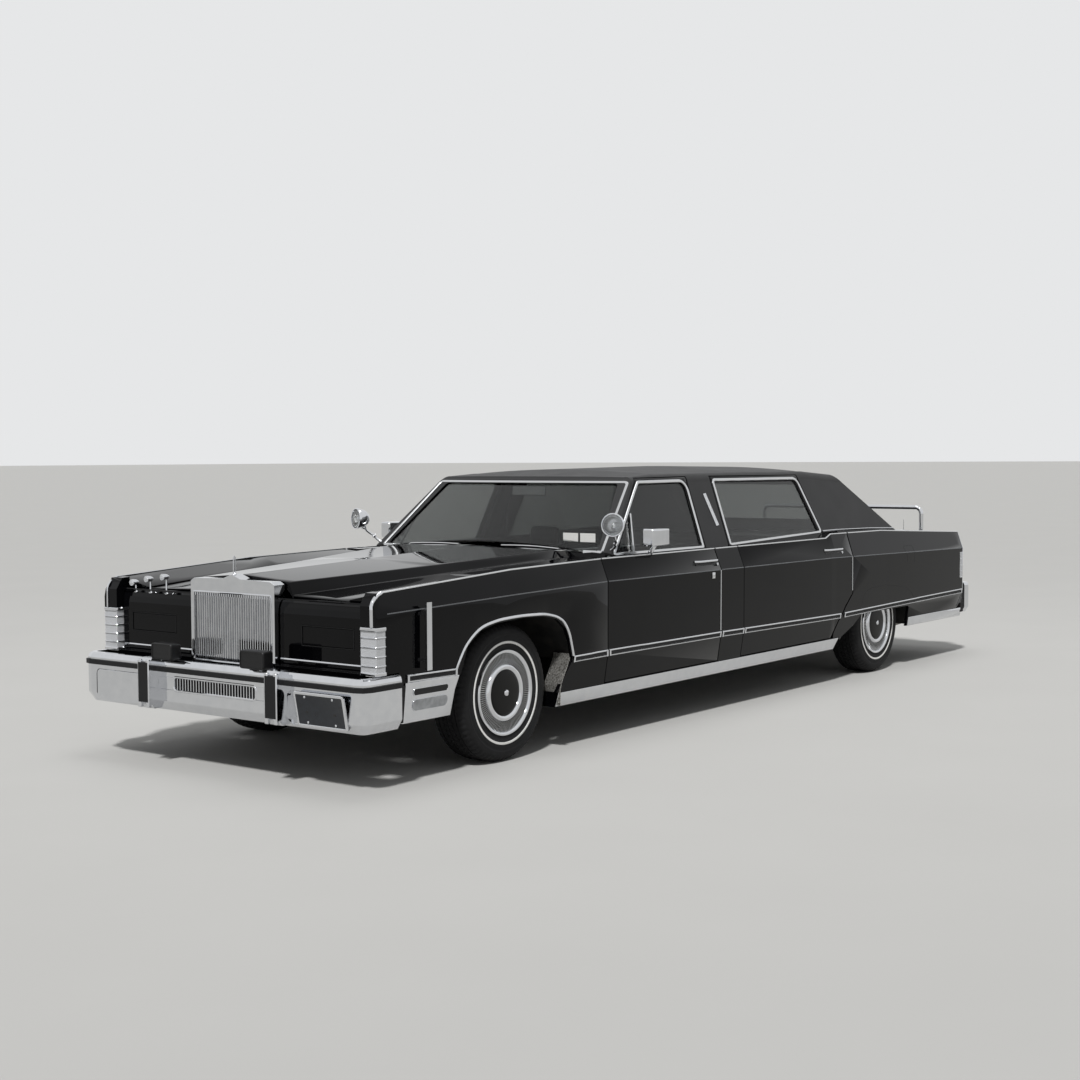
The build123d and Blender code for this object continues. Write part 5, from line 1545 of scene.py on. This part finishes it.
# name, behind from-to, half width, height from-to, lean, channel facing
CUSHIONS = [
    ("front_seat_cushion", (1552, 1985), 700, (372, 524), 0.0, Vector((0, 0, 1))),
    ("front_seat_back", (1985, 2085), 700, (470, 948), 0.10, Vector((1, 0, 0))),
    ("rear_seat_cushion", (3345, 3800), 690, (372, 540), 0.0, Vector((0, 0, 1))),
    ("rear_seat_back", (3790, 3930), 662, (500, 938), 0.10, Vector((1, 0, 0))),
]
seat_pieces = []
for name, (b0, b1), half, (z0, z1), lean, facing in CUSHIONS:
    low, high = at(b1, -half, z0), at(b0, half, z1)
    piece = stuffed(name, cushion_block(low, high, lean), crown_mm=35, cap_mm=24, voxel_mm=16)
    channels(piece, 1, 88, 7, facing)
    soften = piece.modifiers.new("soften", "SUBSURF")
    soften.levels = soften.render_levels = 1
    piece.data.shade_smooth()
    seat_pieces.append(piece)
for k, y in enumerate((-380, 380)):
    block = cushion_block(at(2100, y - 112, 972), at(2046, y + 112, 1098))
    piece = stuffed(f"front_headrest_{k + 1}", block, crown_mm=22, cap_mm=12, voxel_mm=12)
    piece.data.shade_smooth()
    seat_pieces.append(piece)
plinths = []
for rear, front in ((1990, 1560), (3830, 3350)):
    for y0, y1 in ((-690, -140), (140, 690)):
        plinths.append(brick(at(rear, y0, 313), at(front, y1, 372)))
plinth_piece = make_piece("seat_plinths", joined(*plinths), carpet, "car", bevel=6)
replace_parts(plinth_piece, "seats")
print("cushions", len(seat_pieces))


# %% [markdown]
# ## Carpets, ceiling and door trims
# Carpet and headlining follow the panels they are fixed to, so each is a grid whose points are set by rays,
# a few millimetres off the metal. The doors get a padded trim with an armrest.


# %% Carpet and headlining
def laid_grid(name, behinds, ys, surfaces, start_z, direction, gap, thick, material, body):
    rows = len(behinds)
    columns = len(ys)
    face_points, back_points = [], []
    for b in behinds:
        for y in ys:
            point, _, _, _ = surfaces.ray_cast(at(b, y, start_z), Vector((0, 0, direction)))
            point = point if point else at(b, y, start_z)
            face_points.append(point - Vector((0, 0, direction * (gap + thick) * MM)))
            back_points.append(point - Vector((0, 0, direction * gap * MM)))
    faces = []
    shift = rows * columns
    for r in range(rows - 1):
        for c in range(columns - 1):
            a = r * columns + c
            faces.append((a, a + 1, a + columns + 1, a + columns))
            faces.append((a + shift, a + shift + columns, a + shift + columns + 1, a + shift + 1))
    edge = [r * columns for r in range(rows)] + [(rows - 1) * columns + c for c in range(1, columns)]
    edge += [r * columns + columns - 1 for r in range(rows - 2, -1, -1)] + list(range(columns - 2, 0, -1))
    for a, b in zip(edge, edge[1:] + edge[:1]):
        faces.append((a, b, b + shift, a + shift))
    return make_piece(name, (face_points + back_points, faces), material, body, smooth=40)


def spread(start, end, count):
    return [start + (end - start) * k / (count - 1) for k in range(count)]


floor_ys = spread(-836, -134, 8) + [-128] + spread(-110, 110, 4) + [128] + spread(134, 836, 8)
laid_grid("front_carpet", spread(742, 1548, 12), floor_ys, floor_tree, 700, -1, 1, 7, carpet, "car")
laid_grid("rear_carpet", spread(2184, 3340, 16), floor_ys, floor_tree, 700, -1, 1, 7, carpet, "car")
ceiling_tree = tree_of("roof")
ceiling_bs, ceiling_ys = spread(1490, 3990, 26), spread(-560, 560, 13)
laid_grid("headlining", ceiling_bs, ceiling_ys, ceiling_tree, 1250, 1, 2, 8, headlining, "car")


# %% Door trims
def door_trim(name, start, end, foot, body):
    outline = rounded([(start, foot), (start, 960), (end, 960), (end, foot)], 30, 4)
    face_points, back_points = ([at(b, y, z) for b, z in outline] for y in (838, 849))
    make_pair(f"door_trim_{name}", slab(face_points, back_points), leather, body, bevel=3)
    arm_section = [(-28, 0), (-30, 30), (-22, 52), (10, 56), (24, 44), (28, 0)]
    arm_path = [at(b, 840, 700) for b in spread(start + 220, end - 120, 6)]
    armrest = swept(arm_path, [Vector((0, -1, 0))] * 6, arm_section)
    make_pair(f"armrest_{name}", armrest, leather, body, bevel=5)
    strip_path = [at(b, 838, 800) for b in spread(start + 30, end - 30, 6)]
    trim_strip = swept(strip_path, [Vector((0, -1, 0))] * 6, [(-9, 0), (-8, 3), (8, 3), (9, 0)])
    make_pair(f"door_trim_strip_{name}", trim_strip, stainless, body)
    pull_line = [(90, 836, 840), (90, 812, 835), (150, 810, 835), (150, 836, 840)]
    pull = tube([at(start + b, y, z) for b, y, z in pull_line], 5, 10)
    make_pair(f"inner_handle_{name}", pull, chrome, body)


door_trim("front", 850, 1960, 350, "front_door_left")
door_trim("rear", 2300, 3440, 350, "rear_door_left")

# %% [markdown]
# ## Behind the windscreen
# Through the glass show the instrument hood, the steering wheel's pad, the mirror, two sun visors, and two
# plain white cards tucked at the left foot of the glass.

# %% Dashboard details
binnacle = brick(at(1262, 215, 880), at(1180, 600, 962))
make_piece("instrument_hood", binnacle, black_plastic, "car", bevel=10)
dial_face = brick(at(1266, 235, 888), at(1262, 580, 948))
make_piece("instrument_face", dial_face, stainless, "car", bevel=2)
DIAL = [(0, 0), (0, 30), (4, 30), (5, 26), (2, 24), (2, 0)]
dials = []
for y in (290, 370, 450, 530):
    dials.append(turned(DIAL, at(1266, y, 918), axis="x", sense=-1, steps=32, closed=False))
make_piece("instrument_dials", joined(*dials), black_plastic, "car")
vents = [brick(at(1266, y, 800), at(1250, y + 6, 850)) for y in range(-60, 160, 12)]
make_piece("dashboard_vents", joined(*vents), chrome, "car", smooth=None)
glove = brick(at(1240, -640, 790), at(1236, -250, 880))
make_piece("glove_box_lid", glove, leather, "car", bevel=6)
pad_centre = at(1506, 380, 908)
pad_form = [(0, 0), (0, 48), (14, 46), (24, 30), (26, 0)]
pad = turned(pad_form, Vector((0, 0, 0)), axis="x", sense=-1, steps=32, closed=False)
turn = Vector((-1, 0, 0)).rotation_difference(Vector((-0.9, 0, 0.43))).to_matrix().to_4x4()
place = Matrix.Translation(pad_centre) @ turn
make_piece("steering_wheel_pad", ([place @ v for v in pad[0]], pad[1]), leather, "car")
rim_points = []
for k in range(48):
    a = 2 * math.pi * k / 48
    rim_points.append(place @ (Vector((-0.004, math.cos(a) * 0.189, math.sin(a) * 0.189))))
rim_outs = [(p - pad_centre).normalized() for p in rim_points]
grip = [(13 * math.cos(2 * math.pi * k / 10), 13 * math.sin(2 * math.pi * k / 10)) for k in range(10)]
make_piece("steering_wheel_grip", swept(rim_points, rim_outs, grip, closed=True), black_plastic, "car")

head = brick(at(1420, -125, 1318), at(1402, 125, 1378))
make_piece("cabin_mirror", head, chrome, "car", bevel=5)
mirror_pane = brick(at(1422, -118, 1324), at(1420, 118, 1372))
make_piece("cabin_mirror_glass", mirror_pane, mirror_glass, "car", bevel=1)
stem = tube([at(1405, 0, 1350), at(1398, 0, 1375), at(1400, 0, 1404)], 6, 10)
make_piece("cabin_mirror_stem", stem, chrome, "car")
for name, y0, y1 in (("left", 190, 570), ("right", -570, -190)):
    visor = brick(at(1560, y0, 1386), at(1440, y1, 1396))
    make_piece(f"sun_visor_{name}", visor, headlining, "car", bevel=4)
for k, (y0, y1) in enumerate(((520, 625), (640, 745))):
    card = brick(at(1049, y0, 1070), at(1047, y1, 1120))
    make_piece(f"white_card_{k + 1}", card, card_paper, "car", bevel=0.4)

# %% Partition frame
posts = joined(
    brick(at(2172, -790, 980), at(2158, -764, 1180)),
    brick(at(2172, 764, 980), at(2158, 790, 1180)),
    brick(at(2174, -800, 976), at(2156, 800, 992)),
)
make_piece("partition_frame", posts, stainless, "car", bevel=2)

# %% [markdown]
# ## Tail
# The tail is hidden in the photograph. It gets what such a car has: upright red lamps with bright ribs in
# the fender tips, a plain plated bumper with a rubber strip, a blank plate and a lock.

# %% Tail lamps and fittings
TAIL_SIDE = 998
RIB_PLAN = [(5612, TAIL_SIDE + 1), (5650, TAIL_SIDE), (5658, TAIL_SIDE - 7), (5659.5, 930), (5659.5, 874)]
outs = [Vector((x, y, 0)) for x, y in ((0, 1), (-0.3, 1), (-1, 0.6), (-1, 0), (-1, 0))]
tail_parts = []
for z in (606, 652, 700, 748, 794):
    path = [at(b, y, z) for b, y in RIB_PLAN]
    tail_parts.append(swept(path, outs, [(-3, -3), (-3, 1), (0, 2.5), (3, 1), (3, -3)]))
make_pair("tail_lamp_ribs", joined(*tail_parts), chrome, "car")
red = brick(at(5659, 874, 606), at(5655, 988, 794))
make_pair("tail_lamp_face", red, red_lens, "car", bevel=2)
plate("rear", at(5650, 0, 545), 0, -1)
lock_form = [(0, 0), (0, 26), (5, 25), (8, 18), (8, 8), (6, 0)]
lock = turned(lock_form, at(5640, 0, 820), axis="x", sense=-1, steps=32, closed=False)
make_piece("trunk_lock_cover", lock, chrome, "trunk_body")
rear_outs = [Vector((-1, 0, 0))] * 12
path = [at(5641, y, 700) for y in spread(-740, 740, 12)]
lid_strip = swept(path, rear_outs, [(-8, -2), (-8, 3), (0, 6), (8, 3), (8, -2)])
make_piece("trunk_lid_strip", lid_strip, chrome, "trunk_body")
path = [at(5824, y, 470) for y in spread(-372, 372, 12)]
bumper_strip = swept(path, rear_outs, [(-16, -5), (-14, 4), (14, 4), (16, -5)])
make_piece("rear_bumper_strip", bumper_strip, rubber, "car")
filler = brick(at(5644, 958, 330), at(5704, 990, 556))
make_pair("rear_bumper_filler", filler, rubber, "car", bevel=6)
tail_edge = [at(5661, 957, 952), at(5661, 1000, 828), at(5661, 998, 600), at(5661, 998, 500)]
bead = swept(tail_edge, [Vector((-0.4, 1, 0))] * 4, [(-3, -3), (-3, 2), (3, 2), (3, -3)])
make_pair("tail_edge_bead", bead, chrome, "car")
EYE_LINE = [(5640, 300), (5660, 262), (5690, 250), (5715, 268), (5700, 300), (5690, 328)]
eye = tube([at(b, 560, z) for b, z in EYE_LINE], 5, 10)
make_piece("tow_eye", eye, cast_iron, "car")

# %% [markdown]
# ## Camera, floor and light
# The camera stands where the photographer stood, found from the wheels, the bumper and the door lines. The
# light is a plain studio: a large soft lamp above, a key from the front left and a pale floor, so black
# paint shows its shape by what it mirrors.

# %% Camera
CAMERA_BEHIND, CAMERA_Y, CAMERA_Z = -6493.2, 6061.3, 1548.9
YAW, PITCH, ROLL = -142.8769, -2.8775, -0.2856
FOCAL_PIXELS, PICTURE_PIXELS, SENSOR_MM = 1635.51, 1080, 36
yaw, pitch, roll = (math.radians(a) for a in (YAW, PITCH, ROLL))
ahead = Vector((math.cos(yaw) * math.cos(pitch), math.sin(yaw) * math.cos(pitch), math.sin(pitch)))
level_right = ahead.cross(Vector((0, 0, 1))).normalized()
level_up = level_right.cross(ahead)
right = level_right * math.cos(roll) + level_up * math.sin(roll)
up = level_up * math.cos(roll) - level_right * math.sin(roll)
camera_data = bpy.data.cameras.new("camera")
camera_data.sensor_width = SENSOR_MM
camera_data.lens = FOCAL_PIXELS / PICTURE_PIXELS * SENSOR_MM
camera_data.clip_end = 1000
camera = bpy.data.objects.new("camera", camera_data)
bpy.context.scene.collection.objects.link(camera)
turn = Matrix((right, up, -ahead)).transposed().to_4x4()
camera.matrix_world = Matrix.Translation(at(CAMERA_BEHIND, CAMERA_Y, CAMERA_Z)) @ turn
bpy.context.scene.camera = camera

# %% Floor and light
floor_mesh = bpy.data.meshes.new("studio_floor")
reach = 400
corners = [(-reach, -reach, 0), (reach, -reach, 0), (reach, reach, 0), (-reach, reach, 0)]
floor_mesh.from_pydata(corners, [], [(0, 1, 2, 3)])
studio_floor = bpy.data.objects.new("studio_floor", floor_mesh)
bpy.context.scene.collection.objects.link(studio_floor)
floor_paint, tree, shader, place = new_material(
    "rolled_pale_floor_paint", "paint", "#c3c2bf", Roughness=0.9, Specular_IOR_Level=0.2
)
clouds = add_node(tree, "ShaderNodeTexNoise", {"Scale": 1 / (900 * MM), "Detail": 3.0}, {"Vector": place})
tones = {"Color1": linear("#c1c0bd"), "Color2": linear("#c5c4c1")}
add_node(tree, "ShaderNodeMixRGB", tones, {"Fac": clouds.outputs["Fac"]}, {"Color": shader["Base Color"]})
floor_mesh.materials.append(floor_paint)
studio_floor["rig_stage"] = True

# the sun of the photograph stands ahead and to the left: 0.75 forward and 0.4 left for each unit of height
SUN_DIRECTION = Vector((0.75, 0.4, 1.0))
sun_data = bpy.data.lights.new("key", "SUN")
sun_data.energy = 2.7
sun_data.angle = math.radians(5)
key = bpy.data.objects.new("key", sun_data)
key.rotation_mode = "QUATERNION"
key.rotation_quaternion = SUN_DIRECTION.to_track_quat("Z", "Y")
bpy.context.scene.collection.objects.link(key)


def soft_lamp(name, place, target, size, watts):
    lamp_data = bpy.data.lights.new(name, "AREA")
    lamp_data.shape = "RECTANGLE"
    lamp_data.size, lamp_data.size_y = size
    lamp_data.energy = watts
    lamp = bpy.data.objects.new(name, lamp_data)
    lamp.location = place
    lamp.rotation_mode = "QUATERNION"
    lamp.rotation_quaternion = (Vector(target) - Vector(place)).to_track_quat("-Z", "Y")
    bpy.context.scene.collection.objects.link(lamp)


soft_lamp("overhead", (0, 0, 8.0), (0, 0, 0), (7, 3), 120)

world = bpy.data.worlds.new("studio")
bpy.context.scene.world = world
world.use_nodes = True
world_tree = world.node_tree
sky = world_tree.nodes["Background"]
sky.inputs["Color"].default_value = linear("#dfe1e3")
sky.inputs["Strength"].default_value = 0.4
backdrop = add_node(world_tree, "ShaderNodeBackground", {"Color": linear("#e6e7e8"), "Strength": 1.0})
rays = add_node(world_tree, "ShaderNodeLightPath")
direct = add_node(world_tree, "ShaderNodeMath", operation="MAXIMUM")
world_tree.links.new(rays.outputs["Is Camera Ray"], direct.inputs[0])
world_tree.links.new(rays.outputs["Is Glossy Ray"], direct.inputs[1])
shown = add_node(world_tree, "ShaderNodeMath", operation="MAXIMUM")
world_tree.links.new(direct.outputs["Value"], shown.inputs[0])
world_tree.links.new(rays.outputs["Is Transmission Ray"], shown.inputs[1])
mix = add_node(world_tree, "ShaderNodeMixShader", links={"Fac": shown.outputs["Value"]})
world_tree.links.new(sky.outputs["Background"], mix.inputs[1])
world_tree.links.new(backdrop.outputs["Background"], mix.inputs[2])
world_tree.links.new(mix.outputs["Shader"], world_tree.nodes["World Output"].inputs["Surface"])
bpy.context.scene.view_settings.view_transform = "Standard"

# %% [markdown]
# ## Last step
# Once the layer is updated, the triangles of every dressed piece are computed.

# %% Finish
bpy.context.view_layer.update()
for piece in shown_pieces():
    if piece.type == "MESH" and "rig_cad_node" not in piece:
        piece.data.calc_loop_triangles()
